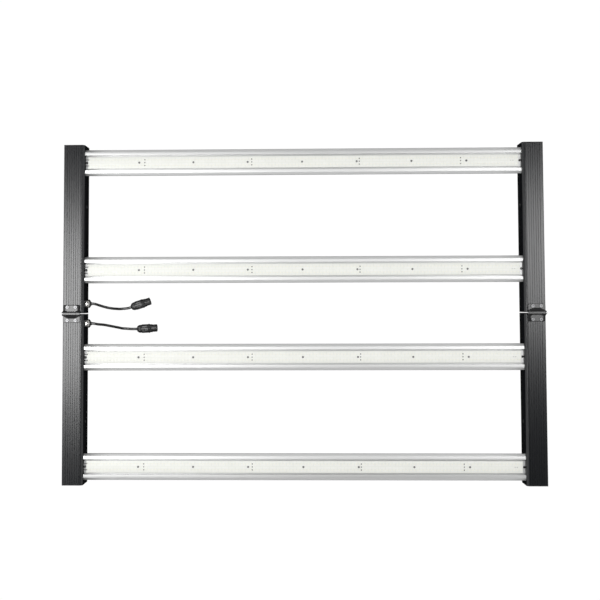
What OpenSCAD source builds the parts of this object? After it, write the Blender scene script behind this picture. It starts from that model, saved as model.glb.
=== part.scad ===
// Folding LED grow light with four light bars between two hinged rails.
// It lies on its back with the light side up, all sizes in millimetres.
// X runs along the bars, Y along the rails and Z out of the light side.
// The rear half lies at +Y and the front half at -Y, with the fold line along X between them.

/* [Rails] */
// Clear span between the left and the right rail
span = 1014; // [700:1:1300]
// Width of a rail
rail_w = 48; // [44:1:70]
// Depth of a rail from its back to its light side
rail_h = 50; // [44:1:90]
// Length of one rail half with its two caps
half_len = 392.5; // [330:0.5:520]
// Gap between the rail halves at the fold line
fold_gap = 2; // [2:0.5:6]
// Thickness of the side and back walls
rail_wall = 2; // [1.5:0.1:3]
// Thickness of the light side wall, which holds the hinge screws
front_wall = 3; // [2.5:0.1:5]
// Width of the bevel along the inner light side edge
bevel_w = 5; // [3:0.5:6]
// Depth of the bevel along the inner light side edge
bevel_d = 4; // [2:0.5:4.5]
// Radius of the outer light side corner
outer_r = 1.5; // [1:0.1:5]
// Radius of the back corners
back_r = 1.5; // [1:0.1:4]
// Number of fine grooves along the light side
groove_n = 7; // [3:1:9]
// Distance between two grooves
groove_pitch = 5.2; // [3:0.1:6]
// Width of a groove
groove_w = 1.2; // [0.6:0.1:2]
// Depth of a groove
groove_d = 0.8; // [0.3:0.1:1.2]
// Thickness of a rail cap
cap_t = 2; // [1:0.1:4]
// Length of the part of a cap that sits inside the rail
cap_plug_l = 7; // [3:0.5:7]
// Wall of the part of a cap that sits inside the rail
cap_wall = 1.5; // [1:0.1:2.5]

/* [Bars] */
// Largest width of a light bar, below its shoulders
bar_w = 61; // [58:0.5:80]
// Width over the two flat lips of a bar
lip_w = 48.5; // [44:0.5:56]
// Width of a bar at the ends of its skirts
foot_w = 50; // [48:0.5:60]
// Depth of a light bar with its cooling fins
bar_h = 34; // [26:1:40]
// How far the bar lies below the light side of the rails
bar_drop = 6; // [4:0.5:10]
// Distance of the inner bar from the fold line
inner_bar_y = 101; // [90:1:130]
// Distance of the outer bar from the end of the rail
outer_bar_inset = 41.5; // [40:0.5:60]
// Width of the recess for the board
recess_w = 35; // [32:0.5:42]
// Depth of the recess for the board
recess_d = 4; // [3:0.1:6]
// Depth of the gutters beside the board
gutter_d = 2; // [0.5:0.1:2.5]
// Thickness of the bar floor
floor_t = 4; // [3:0.1:6]
// Drop of the sloping shoulders beside the lips
shoulder_d = 3.4; // [2:0.1:5]
// Height of the blunt edge below a shoulder
edge_h = 2; // [1:0.1:4]
// Thickness of the side skirts
skirt_t = 2.5; // [1.5:0.1:3]
// Thickness of a cooling fin
fin_t = 1.6; // [1:0.1:2.2]
// Distance between two cooling fins
fin_pitch = 4.5; // [4:0.1:6]
// Number of fins on each side of the bracket channel
fin_n = 3; // [1:1:3]
// Width of the middle channel that takes the brackets
channel_w = 22; // [21:0.5:24]

/* [Boards] */
// Width of a board
board_w = 27; // [24:0.5:30]
// Thickness of a board
board_t = 1.6; // [1:0.1:2.4]
// Bare bar floor between a board end and the rail
board_inset = 7; // [6.5:0.1:14]
// Number of equal fields that the board screws make along a bar
board_fields = 8; // [4:1:12]
// Light chips in one row for each field
chips_per_field = 16; // [8:1:20]
// Distance between the two rows of light chips
chip_row_gap = 13.5; // [9:0.5:18]
// Side of a light chip
chip_w = 3; // [2:0.1:3.5]
// Height of a light chip
chip_h = 0.7; // [0.4:0.1:1.2]

/* [Hinges] */
// Length of a hinge along its pin
leaf_w = 40; // [36:1:46]
// Distance from the pin to the end of a leaf
leaf_l = 20.5; // [19:0.5:26]
// Thickness of a leaf
leaf_t = 2.5; // [2:0.1:2.6]
// Corner radius of a leaf
leaf_r = 4; // [1:0.5:6]
// Width of the flat pad on the leaf with two knuckles
pad_w = 28; // [26:0.5:34]
// Reach of the boss on the leaf with one knuckle, from the pin
boss_l = 11.2; // [9:0.1:11.4]
// Radius of the hinge barrel
barrel_r = 5; // [4.6:0.1:7]
// Radius of the hinge pin
pin_r = 2.5; // [1.5:0.1:3]
// Radial play of the pin in the knuckles
pin_play = 0.05; // [0.02:0.01:0.1]
// Gap between two knuckles
knuckle_gap = 0.3; // [0.3:0.05:1]
// Length of the middle knuckle
mid_knuckle = 22; // [10:0.1:24]
// Height of the barrel above the rail face
barrel_lift = 0.3; // [0.3:0.1:1]
// Radius of the head of the hinge pin
pin_head_r = 3.6; // [3.2:0.1:4.5]
// Height of the head of the hinge pin
pin_head_h = 1.7; // [1:0.1:3]

/* [Screws and rivets] */
// Distance of the hinge screws from the pin
hinge_screw_y = 15.3; // [14.5:0.1:16]
// Distance between the two hinge screws of a leaf
hinge_screw_gap = 18.6; // [14:0.1:22]
// Radius of a hinge screw
hinge_screw_r = 2; // [1.5:0.1:2.4]
// Head radius of a hinge screw
hinge_head_r = 3.8; // [3:0.1:4.4]
// Head height of a hinge screw
hinge_head_h = 2.2; // [1.2:0.1:2.3]
// Radius of a board screw
board_screw_r = 1.2; // [0.8:0.1:1.5]
// Head radius of a board screw
board_head_r = 2.3; // [1.8:0.1:2.8]
// Head height of a board screw
board_head_h = 1.5; // [0.8:0.1:2]
// Radius of a bar screw
bar_screw_r = 1.5; // [1.2:0.1:1.8]
// Head radius of a bar screw
bar_head_r = 2.75; // [2.2:0.05:2.9]
// Head height of a bar screw
bar_head_h = 1.8; // [1:0.1:2.4]
// Distance of a bar screw from the rail
bar_screw_inset = 3.4; // [3:0.1:3.5]
// Radius of a bracket rivet
rivet_r = 1.6; // [1.2:0.1:2]
// Head radius of a bracket rivet
rivet_head_r = 3.2; // [2.6:0.1:3.6]
// Distance between the two rivets of a bracket
rivet_gap = 11; // [9:0.5:12]

/* [Brackets and inserts] */
// Width of a bar bracket
bracket_w = 20; // [18:0.5:20.5]
// Thickness of a bar bracket
bracket_t = 3; // [2:0.1:4]
// Length of the bracket tab under the bar
bracket_tab = 16; // [12:0.5:24]
// Height of the bracket leg on the rail
bracket_leg = 24; // [20:0.5:26]
// Distance of the hanging inserts from the fold line
insert_y = 250; // [200:1:280]
// Bore radius of a hanging insert
insert_bore_r = 2.5; // [2:0.1:3]
// Outer radius of a hanging insert
insert_r = 3.5; // [3.2:0.1:4.5]
// Flange radius of a hanging insert
insert_flange_r = 4.5; // [4.2:0.1:6]
// Length of a hanging insert behind its flange
insert_l = 11; // [6:0.5:16]

/* [Glands and plugs] */
// Distance of a cable gland from the fold line
gland_y = 23; // [23:0.5:27]
// Width across the flats of the gland body
gland_af = 20; // [18:0.5:20]
// Thickness of the gland body in front of the rail
gland_flange_t = 4; // [3:0.1:4]
// Radius of the gland spigot through the rail
gland_spigot_r = 8; // [7:0.1:8.2]
// Length of the gland spigot behind the rail face
gland_spigot_l = 12; // [9:0.5:16]
// Width across the flats of the gland nut
nut_af = 19; // [18:0.5:20]
// Length of the gland nut
nut_l = 7; // [6:0.1:7]
// Thickness of the lock nut inside the rail
locknut_t = 4; // [3:0.1:5]
// Radius of the jacketed cable
cord_r = 3; // [2.5:0.1:3.4]
// Largest radius of a plug
plug_ring_r = 10.5; // [10:0.1:12]
// Radius of the ribbed grip of a plug
plug_grip_r = 10.1; // [9.6:0.1:10.4]
// Radius of the collar behind the front shell of a plug
plug_collar_r = 9.4; // [9:0.1:9.9]
// Radius of the front shell of a plug
plug_shell_r = 8.75; // [8:0.05:8.9]
// Radius of the socket in the front shell
plug_socket_r = 6.5; // [5:0.1:7]
// Length of a plug
plug_l = 47; // [42:0.5:60]
// Number of flutes round the plug grip
flute_n = 18; // [8:1:24]
// Radius of a lead inside the rail
lead_r = 0.9; // [0.6:0.1:1]

/* [Hidden] */
$fn = 48;

// Small clearances and margins
fit = 0.05;
slide = 0.15;
end_play = 0.25;
cut = 1;

// Rails
face_x = -span / 2;
rail_x = face_x - rail_w / 2;
outer_x = face_x - rail_w;
half_y0 = fold_gap / 2;
half_y1 = half_y0 + half_len;
tube_y0 = half_y0 + cap_t;
tube_y1 = half_y1 - cap_t;
cavity_w = rail_w - 2 * rail_wall;
cavity_h = rail_h - rail_wall - front_wall;
cavity_front_r = rail_wall;
cavity_back_r = max(back_r - rail_wall / 2, 0.5);

// Bars and boards
bar_z1 = rail_h - bar_drop;
bar_z0 = bar_z1 - bar_h;
floor_z1 = bar_z1 - recess_d;
floor_z0 = floor_z1 - floor_t;
bar_l = span - 2 * end_play;
edge_z1 = bar_z1 - shoulder_d;
edge_z0 = edge_z1 - edge_h;
edge_slope = 0.5;
skirt_top = foot_w / 2 + (bar_w - foot_w) / 2 * (floor_z0 - bar_z0) / (edge_z0 - bar_z0) - skirt_t;
bar_ys = [inner_bar_y, half_y1 - outer_bar_inset];
fin_root = floor_t / 4;
seat_w = board_w + 0.6;
board_z1 = floor_z1 + board_t;
board_l = span - 2 * board_inset;
chip_n = board_fields * chips_per_field;
chip_pitch = board_l / chip_n;
chip_rows = [-chip_row_gap / 2, chip_row_gap / 2];
field_l = span / board_fields;
board_screw_xs = [for (i = [1 : board_fields - 1]) face_x + i * field_l];
board_screw_foot = floor_t * 0.8;

// Hinges
pin_z = rail_h + barrel_lift + barrel_r;
leaf_inset = 0.5;
leaf_x0 = outer_x + leaf_inset;
leaf_x1 = leaf_x0 + leaf_w;
leaf_mid = (leaf_x0 + leaf_x1) / 2;
barrel_gap = 0.6;
leaf_root = barrel_r + barrel_gap;
ramp_y = barrel_r + 2;
ramp_z = pin_z - barrel_lift;
pad_edge_t = leaf_t * 0.36;
boss_tip = 7;
hinge_screw_xs = [leaf_mid - hinge_screw_gap / 2, leaf_mid + hinge_screw_gap / 2];
hinge_screw_foot = front_wall + 2;
leaf_hole_r = hinge_screw_r + slide;
mid_x0 = leaf_mid - mid_knuckle / 2;
mid_x1 = leaf_mid + mid_knuckle / 2;

// Brackets, rivets and inserts
rivet_z = floor_z0 - bracket_leg * 0.65;
rivet_head_h = 1.2;
rivet_bulb_r = 2.6;
rivet_bulb_h = 3;
bracket_bend_r = 2;
insert_z = rail_h / 2;
insert_flange_t = 0.8;

// Leads from the boards into the left rail, through grommets
lead_gap = 14;
lead_rise = 2.6;
lead_z = floor_z1 + lead_rise;
lead_start = board_inset + 1.5;
lead_flat = 2.5;
lead_reach = 1.5;
grommet_bore_r = lead_r + fit;
grommet_neck_r = lead_r + 0.7;
grommet_flange_r = lead_r + 1.3;
grommet_flange_t = 0.8;
// Bend of a lead inside the rail: share of the way across that is left, way along, share of the drop left
lead_bend = [[0.72, 1.5, 0.9], [0.42, 5, 0.58], [0.16, 10, 0.22], [0.02, 16, 0.03], [0, 22, 0]];

// Splice block on the outer wall of the left rail, where the leads meet the jacketed cable
tail_bend = 24;
tail_lead = 3;
block_w = 18;
block_l = 20;
block_h = 14;
block_y0 = gland_y + tail_bend + tail_lead;
block_y1 = block_y0 + block_l;
block_x0 = outer_x + rail_wall;
block_x = block_x0 + block_w / 2;
lane_dx = 4;
lane_dz = 4;

// Glands
gland_z = rail_h / 2;
gland_face = face_x + gland_flange_t;
neck_l = nut_l - 2.5;
neck_r = gland_spigot_r - 0.8;
nut_x1 = gland_face + nut_l;
seal_r = cord_r + 1.4;
seal_bore_r = cord_r + fit;
seal_nose = 3;
seal_x1 = nut_x1 + seal_nose;
nut_mouth_r = seal_r + slide;

// Plugs, measured along their own axis from the tail
tail_l = 11;
tail_bore_r = cord_r + 0.1;
tail_mouth = 4;
tail_r = plug_grip_r - 0.8;
plug_neck_r = tail_r - 1.9;
grip_l = 16;
ring_l = 3;
collar_l = 6;
collar_u0 = tail_l + grip_l + ring_l;
shell_u0 = collar_u0 + collar_l;
socket_l = 10;
insert_t = 4;
insert_u0 = plug_l - socket_l - insert_t;
flute_r = 0.8;
contact_n = 3;
contact_r = 1.2;
contact_ring = plug_socket_r * 0.5;
contact_l = 7.5;

// Runs of the two free cables from the mouth of the gland to a few millimetres inside the plug tail:
// way along X, way along Y, and the share that is left of the drop to a plug that lies on the floor
rear_run = [
    [0, 0, 1], [3, 0, 1], [8, -0.8, 1], [13, -2.4, 0.95], [20, -4.8, 0.85], [27, -7, 0.7],
    [34, -9, 0.52], [41, -10.5, 0.34], [48, -11.5, 0.18], [55, -12, 0.06], [62, -12.5, -0.02],
    [69, -12, -0.05], [76, -11.5, -0.05], [83, -10.5, -0.03], [90, -8.5, 0], [94, -7.2, 0]
];
front_run = [
    [0, 0, 1], [3, 0, 1], [8, -0.8, 1], [13, -1.8, 0.95], [20, -2.5, 0.87], [27, -3.2, 0.75],
    [34, -4.5, 0.6], [41, -6, 0.44], [48, -7.5, 0.28], [55, -9, 0.15], [62, -10.5, 0.05],
    [69, -12, -0.02], [76, -12.5, -0.05], [83, -13, -0.05], [90, -13.5, -0.05], [97, -13.5, -0.03],
    [104, -13.5, 0], [108, -13.3, 0]
];
plug_drop = gland_z - plug_ring_r;
rear_route = [for (p = rear_run) [seal_x1 + p[0], gland_y + p[1], plug_ring_r + plug_drop * p[2]]];
front_route = [for (p = front_run) [seal_x1 + p[0], -gland_y + p[1], plug_ring_r + plug_drop * p[2]]];
cord_sides = 12;
lead_sides = 8;

// Colours
black_anodised = "#1d1e20";
silver = "#c8cbce";
board_white = "#f2f3ea";
phosphor = "#efe08c";
zinc = "#b9bcbf";
nickel = "#c3bfb5";
black_nylon = "#161617";
black_rubber = "#131314";
black_steel = "#222326";
brass_gold = "#c9a24a";

// Helpers for profiles and places
// A profile drawn in Y and Z and extruded along X
module along_x(x0, x1) {
    translate([x0, 0, 0]) rotate([90, 0, 90]) linear_extrude(x1 - x0) children();
}

// A profile drawn in X and Z and extruded along Y
module along_y(y0, y1) {
    translate([0, y1, 0]) rotate([90, 0, 0]) linear_extrude(y1 - y0) children();
}

// A rectangle that stands on its low side, with one radius below and one for each of the two high corners
module round_box(w, h, r_low, r_left, r_right) {
    translate([-w / 2, r_low]) square([w, h - r_low - max(r_left, r_right)]);
    translate([-w / 2 + r_low, 0]) square([w - 2 * r_low, h / 2]);
    translate([-w / 2 + r_left, h / 2]) square([w - r_left - r_right, h / 2]);
    translate([-w / 2, h / 2]) square([w / 2, h / 2 - r_left]);
    translate([0, h / 2]) square([w / 2, h / 2 - r_right]);
    for (side = [-1, 1]) translate([side * (w / 2 - r_low), r_low]) circle(r_low);
    translate([-w / 2 + r_left, h - r_left]) circle(r_left);
    translate([w / 2 - r_right, h - r_right]) circle(r_right);
}

// A cylinder along X from x0 to x1
module rod_x(x0, x1, y, z, r, sides = $fn) {
    translate([x0, y, z]) rotate([0, 90, 0]) cylinder(h = x1 - x0, r = r, $fn = sides);
}

// A low pan head that sits on Z = 0
module pan_head(r, h) {
    rotate_extrude() polygon([[0, 0], [r, 0], [r, h * 0.45], [r * 0.82, h * 0.85], [r * 0.5, h], [0, h]]);
}

// A pan head screw that sits on Z = 0 and reaches down by its length
module screw(r, length, head_r, head_h) {
    pan_head(head_r, head_h);
    translate([0, 0, -length]) cylinder(r = r, h = length + head_h / 2);
}

// Both ends of a bar, drawn at the left end and mirrored to the right
module both_sides() {
    children();
    mirror([1, 0, 0]) children();
}

// The front half is the mirror image of the rear half
module front() {
    mirror([0, 1, 0]) children();
}

// A round tube swept along points, with one ring of sides at each point
function unit(v) = v / norm(v);
function tangent(p, i) = unit(p[min(i + 1, len(p) - 1)] - p[max(i - 1, 0)]);
function ring(c, t, r, sides) =
    let (side = unit(cross(t, abs(t[2]) < 0.9 ? [0, 0, 1] : [1, 0, 0])), up = cross(side, t))
    [for (k = [0 : sides - 1]) c + r * (side * cos(360 * k / sides) + up * sin(360 * k / sides))];

module tube(path, r, sides) {
    rings = len(path);
    points = [for (i = [0 : rings - 1]) each ring(path[i], tangent(path, i), r, sides)];
    walls = [
        for (i = [0 : rings - 2], k = [0 : sides - 1])
            let (a = i * sides + k, b = i * sides + (k + 1) % sides)
            each [[a, b, b + sides], [a, b + sides, a + sides]]
    ];
    start = [[for (k = [0 : sides - 1]) sides - 1 - k]];
    last = [[for (k = [0 : sides - 1]) (rings - 1) * sides + k]];
    polyhedron(points = points, faces = concat(walls, start, last), convexity = 4);
}

// Rails
module rail_outline() {
    difference() {
        round_box(rail_w, rail_h, back_r, outer_r, outer_r);
        translate([rail_w / 2, rail_h])
            polygon([[-bevel_w, 0], [0, -bevel_d], [cut, -bevel_d], [cut, cut], [-bevel_w, cut]]);
    }
}

module rail_section() {
    difference() {
        rail_outline();
        translate([0, rail_wall])
            round_box(cavity_w, cavity_h, cavity_back_r, cavity_front_r, cavity_front_r);
        for (i = [0 : groove_n - 1])
            translate([(i - (groove_n - 1) / 2) * groove_pitch - groove_w / 2, rail_h - groove_d])
                square([groove_w, groove_d + cut]);
    }
}

module wall_hole(y, z, r) {
    rod_x(face_x - rail_wall - cut, face_x + cut, y, z, r);
}

module rail(wired) {
    color(black_anodised) difference() {
        translate([rail_x, 0, 0]) along_y(tube_y0, tube_y1) rail_section();
        for (y = bar_ys, side = [-1, 1])
            wall_hole(y + side * rivet_gap / 2, rivet_z, rivet_r + fit);
        wall_hole(insert_y, insert_z, insert_r + fit);
        for (x = hinge_screw_xs)
            translate([x, hinge_screw_y, rail_h - front_wall - cut])
                cylinder(r = hinge_screw_r + fit, h = front_wall + 2 * cut);
        if (wired) {
            wall_hole(gland_y, gland_z, gland_spigot_r + slide);
            for (y = bar_ys, side = [-1, 1])
                wall_hole(y + side * lead_gap / 2, lead_z, grommet_neck_r + fit);
        }
    }
}

module left_rail() {
    rail(wired = true);
}

module right_rail() {
    mirror([1, 0, 0]) rail(wired = false);
}

// A cap drawn at the far end of the left rail, with its plug towards -Y
module cap() {
    along_y(tube_y1, half_y1) rail_outline();
    difference() {
        along_y(tube_y1 - cap_plug_l, tube_y1) translate([0, rail_wall + slide])
            round_box(
                cavity_w - 2 * slide,
                cavity_h - 2 * slide,
                cavity_back_r,
                cavity_front_r,
                cavity_front_r
            );
        along_y(tube_y1 - cap_plug_l - cut, tube_y1) translate([0, rail_wall + slide + cap_wall])
            round_box(
                cavity_w - 2 * slide - 2 * cap_wall,
                cavity_h - 2 * slide - 2 * cap_wall,
                cavity_back_r,
                cavity_front_r,
                cavity_front_r
            );
    }
}

module end_caps() {
    color(black_nylon) both_sides() translate([rail_x, 0, 0]) {
        cap();
        translate([0, half_y0 + half_y1, 0]) mirror([0, 1, 0]) cap();
    }
}

// Bars
// The skirts lean inwards below the shoulders, with the cooling fins between them
module bar_section() {
    fin_h = floor_z0 - bar_z0;
    foot = foot_w / 2;
    wide = bar_w / 2;
    difference() {
        polygon([
            [-foot, bar_z0], [foot, bar_z0], [wide, edge_z0], [wide - edge_slope, edge_z1],
            [lip_w / 2, bar_z1], [-lip_w / 2, bar_z1], [-wide + edge_slope, edge_z1], [-wide, edge_z0]
        ]);
        difference() {
            translate([-recess_w / 2, floor_z1 - gutter_d]) square([recess_w, recess_d + gutter_d + cut]);
            translate([-seat_w / 2, floor_z0]) square([seat_w, floor_t]);
        }
        polygon([
            [-foot + skirt_t, bar_z0 - cut], [foot - skirt_t, bar_z0 - cut], [foot - skirt_t, bar_z0],
            [skirt_top, floor_z0], [-skirt_top, floor_z0], [-foot + skirt_t, bar_z0]
        ]);
    }
    for (side = [-1, 1], i = [0 : fin_n - 1])
        translate([side * (channel_w / 2 + fin_t / 2 + i * fin_pitch) - fin_t / 2, bar_z0])
            square([fin_t, fin_h + fin_root]);
}

module bar(y) {
    color(silver) difference() {
        translate([0, y, 0]) along_x(-bar_l / 2, bar_l / 2) bar_section();
        for (x = board_screw_xs)
            translate([x, y, floor_z0 - cut]) cylinder(r = board_screw_r + fit, h = floor_t + 2 * cut);
        both_sides() translate([face_x + bar_screw_inset, y, floor_z0 - cut])
            cylinder(r = bar_screw_r + slide, h = floor_t + 2 * cut);
    }
}

module inner_bar() {
    bar(bar_ys[0]);
}

module outer_bar() {
    bar(bar_ys[1]);
}

// Boards with their light chips and screws
module board(y) {
    color(board_white) difference() {
        translate([-board_l / 2, y - board_w / 2, floor_z1]) cube([board_l, board_w, board_t]);
        for (x = board_screw_xs)
            translate([x, y, floor_z1 - cut]) cylinder(r = board_screw_r + slide, h = board_t + 2 * cut);
    }
}

module inner_board() {
    board(bar_ys[0]);
}

module outer_board() {
    board(bar_ys[1]);
}

module led_chips() {
    color(phosphor)
        for (y = bar_ys, row = chip_rows, i = [0 : chip_n - 1])
            translate([-board_l / 2 + (i + 0.5) * chip_pitch - chip_w / 2, y + row - chip_w / 2, board_z1])
                cube([chip_w, chip_w, chip_h]);
}

module board_screws() {
    color(zinc)
        for (y = bar_ys, x = board_screw_xs)
            translate([x, y, board_z1])
                screw(board_screw_r, board_t + board_screw_foot, board_head_r, board_head_h);
}

// Brackets that carry the bar ends on the rails
module bracket_section() {
    difference() {
        union() {
            translate([0, -bracket_t]) square([bracket_tab, bracket_t]);
            translate([0, -bracket_leg]) square([bracket_t, bracket_leg]);
            translate([bracket_t, -bracket_t - bracket_bend_r]) square(bracket_bend_r);
        }
        translate([bracket_t + bracket_bend_r, -bracket_t - bracket_bend_r]) circle(bracket_bend_r);
    }
}

module bar_bracket(y) {
    difference() {
        translate([face_x, 0, floor_z0]) along_y(y - bracket_w / 2, y + bracket_w / 2) bracket_section();
        translate([face_x + bar_screw_inset, y, floor_z0 - bracket_t])
            cylinder(r = bar_screw_r + fit, h = bracket_t + cut);
        for (side = [-1, 1])
            rod_x(face_x - cut, face_x + bracket_t + bracket_bend_r + cut, y + side * rivet_gap / 2, rivet_z,
                rivet_r + fit);
    }
}

module bar_brackets() {
    color(zinc) both_sides() for (y = bar_ys) bar_bracket(y);
}

module bracket_rivet(y) {
    translate([face_x + bracket_t, y, rivet_z]) rotate([0, 90, 0]) pan_head(rivet_head_r, rivet_head_h);
    rod_x(face_x - rail_wall, face_x + bracket_t + rivet_head_h / 2, y, rivet_z, rivet_r);
    rod_x(face_x - rail_wall - rivet_bulb_h, face_x - rail_wall, y, rivet_z, rivet_bulb_r);
}

module bracket_rivets() {
    color(silver) both_sides()
        for (y = bar_ys, side = [-1, 1]) bracket_rivet(y + side * rivet_gap / 2);
}

module bar_screws() {
    color(black_steel) both_sides()
        for (y = bar_ys) translate([face_x + bar_screw_inset, y, floor_z1])
            screw(bar_screw_r, floor_t + bracket_t - end_play, bar_head_r, bar_head_h);
}

// Threaded inserts in the inner faces of the rails, where the light hangs from
module hanging_inserts() {
    color(black_steel) both_sides() difference() {
        union() {
            rod_x(face_x, face_x + insert_flange_t, insert_y, insert_z, insert_flange_r);
            rod_x(face_x - insert_l, face_x, insert_y, insert_z, insert_r);
        }
        rod_x(face_x - insert_l - cut, face_x + insert_flange_t + cut, insert_y, insert_z, insert_bore_r);
    }
}

// Wiring of one half, from the boards through the left rail to the gland
function lane(i) = [block_x + (i % 2 == 0 ? lane_dx : -lane_dx), gland_z + (i < 2 ? lane_dz : -lane_dz)];

function lead_path(y, i) =
    let (x = lane(i)[0], z = lane(i)[1], drop = lead_z - z, run = face_x - rail_wall - x)
    concat(
        [
            [face_x + lead_start, y, board_z1 + lead_r],
            [face_x + lead_start - lead_flat, y, board_z1 + lead_r],
            [face_x + lead_reach, y, lead_z],
            [face_x - rail_wall - lead_reach, y, lead_z]
        ],
        [for (b = lead_bend) [x + run * b[0], y - b[1], z + drop * b[2]]],
        [[x, block_y1, z]]
    );

function tail_path() =
    let (cx = block_x + tail_bend, cy = gland_y + tail_bend)
    concat(
        [[block_x, block_y0, gland_z]],
        [for (a = [180 : 15 : 270]) [cx + tail_bend * cos(a), cy + tail_bend * sin(a), gland_z]],
        [[seal_x1, gland_y, gland_z]]
    );

module wiring_loom() {
    color(black_rubber) {
        for (b = [0, 1], k = [0, 1])
            tube(lead_path(bar_ys[b] + (k == 0 ? 1 : -1) * lead_gap / 2, 2 * b + k), lead_r, lead_sides);
        tube(tail_path(), cord_r, cord_sides);
    }
}

module lead_grommet(y) {
    difference() {
        union() {
            rod_x(face_x - rail_wall, face_x, y, lead_z, grommet_neck_r);
            rod_x(face_x, face_x + grommet_flange_t, y, lead_z, grommet_flange_r);
            rod_x(face_x - rail_wall - grommet_flange_t, face_x - rail_wall, y, lead_z, grommet_flange_r);
        }
        rod_x(face_x - rail_w, face_x + rail_w, y, lead_z, grommet_bore_r);
    }
}

module lead_grommets() {
    color(black_rubber)
        for (y = bar_ys, side = [-1, 1]) lead_grommet(y + side * lead_gap / 2);
}

module splice_block() {
    color("#d9d6cc")
        translate([block_x0, block_y0, gland_z - block_h / 2]) cube([block_w, block_l, block_h]);
}

// Cable glands on the inner face of the left rail
module hex_x(x0, x1, af) {
    rod_x(x0, x1, gland_y, gland_z, af / sqrt(3), 6);
}

module gland_body() {
    color(nickel) difference() {
        union() {
            hex_x(face_x, gland_face, gland_af);
            rod_x(face_x - gland_spigot_l, face_x, gland_y, gland_z, gland_spigot_r);
            rod_x(gland_face, gland_face + neck_l, gland_y, gland_z, neck_r);
        }
        rod_x(face_x - gland_spigot_l - cut, gland_face + neck_l + cut, gland_y, gland_z, seal_r + slide);
    }
}

module gland_nut() {
    af_r = nut_af / 2;
    color(nickel) translate([gland_face, gland_y, gland_z]) rotate([0, 90, 0]) difference() {
        intersection() {
            cylinder(r = nut_af / sqrt(3), h = nut_l, $fn = 6);
            rotate_extrude() polygon([
                [0, 0], [af_r + 1, 0], [af_r + 1, nut_l * 0.5], [af_r - 0.6, nut_l * 0.72],
                [af_r - 2.2, nut_l * 0.92], [af_r - 3.4, nut_l], [0, nut_l]
            ]);
        }
        translate([0, 0, -cut]) cylinder(r = neck_r + slide, h = neck_l + slide + cut);
        cylinder(r = nut_mouth_r, h = nut_l + cut);
    }
}

module gland_seal() {
    color(black_rubber) translate([gland_face, gland_y, gland_z]) rotate([0, 90, 0]) difference() {
        rotate_extrude() polygon([
            [0, -gland_flange_t], [seal_r, -gland_flange_t], [seal_r, nut_l + seal_nose * 0.3],
            [cord_r + 0.6, nut_l + seal_nose], [0, nut_l + seal_nose]
        ]);
        translate([0, 0, -gland_flange_t - cut])
            cylinder(r = seal_bore_r, h = gland_flange_t + nut_l + seal_nose + 2 * cut);
    }
}

module gland_locknut() {
    color(nickel) difference() {
        hex_x(face_x - rail_wall - locknut_t, face_x - rail_wall, gland_af);
        rod_x(face_x - rail_w, face_x, gland_y, gland_z, gland_spigot_r + fit);
    }
}

// Plugs at the ends of the free cables
module cord(route) {
    color(black_rubber) tube(route, cord_r, cord_sides);
}

// Puts a plug drawn along Z on the end of its cable
module on_route(route) {
    tail = route[len(route) - 2];
    ahead = route[len(route) - 1] - tail;
    translate(tail) rotate([0, 0, atan2(ahead[1], ahead[0])]) rotate([0, 90, 0]) children();
}

module plug_tail_nut(route) {
    color(black_nylon) on_route(route) difference() {
        rotate_extrude() polygon([
            [0, 0], [cord_r + 1.6, 0], [tail_r * 0.72, 1.6], [tail_r * 0.9, 4], [tail_r, 7],
            [tail_r, tail_l], [0, tail_l]
        ]);
        translate([0, 0, -cut]) cylinder(r = tail_bore_r, h = tail_l + 2 * cut);
        translate([0, 0, tail_mouth]) cylinder(r = plug_neck_r + slide, h = tail_l);
    }
}

module plug_body(route) {
    color(black_nylon) on_route(route) difference() {
        union() {
            translate([0, 0, tail_mouth + slide])
                cylinder(r = plug_neck_r, h = tail_l - tail_mouth);
            translate([0, 0, tail_l]) difference() {
                cylinder(r = plug_grip_r, h = grip_l);
                for (k = [0 : flute_n - 1])
                    rotate([0, 0, 360 * k / flute_n]) translate([plug_grip_r + flute_r / 3, 0, 1.2])
                        cylinder(r = flute_r, h = grip_l);
            }
            translate([0, 0, tail_l + grip_l]) cylinder(r = plug_ring_r, h = ring_l);
            translate([0, 0, collar_u0]) cylinder(r = plug_collar_r, h = collar_l);
            translate([0, 0, shell_u0]) cylinder(r = plug_shell_r, h = plug_l - shell_u0);
        }
        translate([0, 0, insert_u0]) cylinder(r = plug_socket_r, h = plug_l);
        translate([0, 0, tail_mouth]) cylinder(r = tail_bore_r, h = tail_l);
    }
}

module plug_insert(route) {
    color("#2b2c2e") on_route(route) difference() {
        translate([0, 0, insert_u0]) cylinder(r = plug_socket_r - fit, h = insert_t);
        at_contacts(insert_u0 - cut) cylinder(r = contact_r + fit, h = insert_t + 2 * cut);
    }
}

module at_contacts(u) {
    for (k = [0 : contact_n - 1])
        rotate([0, 0, 360 * k / contact_n + 90]) translate([contact_ring, 0, u]) children();
}

module plug_pins(route) {
    color(brass_gold) on_route(route) at_contacts(insert_u0) {
        cylinder(r = contact_r, h = insert_t + contact_l - contact_r);
        translate([0, 0, insert_t + contact_l - contact_r]) sphere(r = contact_r);
    }
}

// Hinges
module knuckle(x0, x1) {
    along_x(x0, x1) translate([0, pin_z]) circle(barrel_r);
}

// A ramp that slopes down from the barrel to the leaf
module ramp(x0, x1, reach) {
    along_x(x0, x1) polygon([
        [0, rail_h + barrel_lift], [reach, rail_h + barrel_lift], [reach, rail_h + leaf_t],
        [barrel_r * 0.97, ramp_z], [0, pin_z]
    ]);
}

module leaf_plate() {
    plate_l = leaf_l - leaf_root;
    translate([leaf_mid, leaf_root, rail_h]) linear_extrude(leaf_t)
        round_box(leaf_w, plate_l, 0.5, leaf_r, leaf_r);
}

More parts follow.
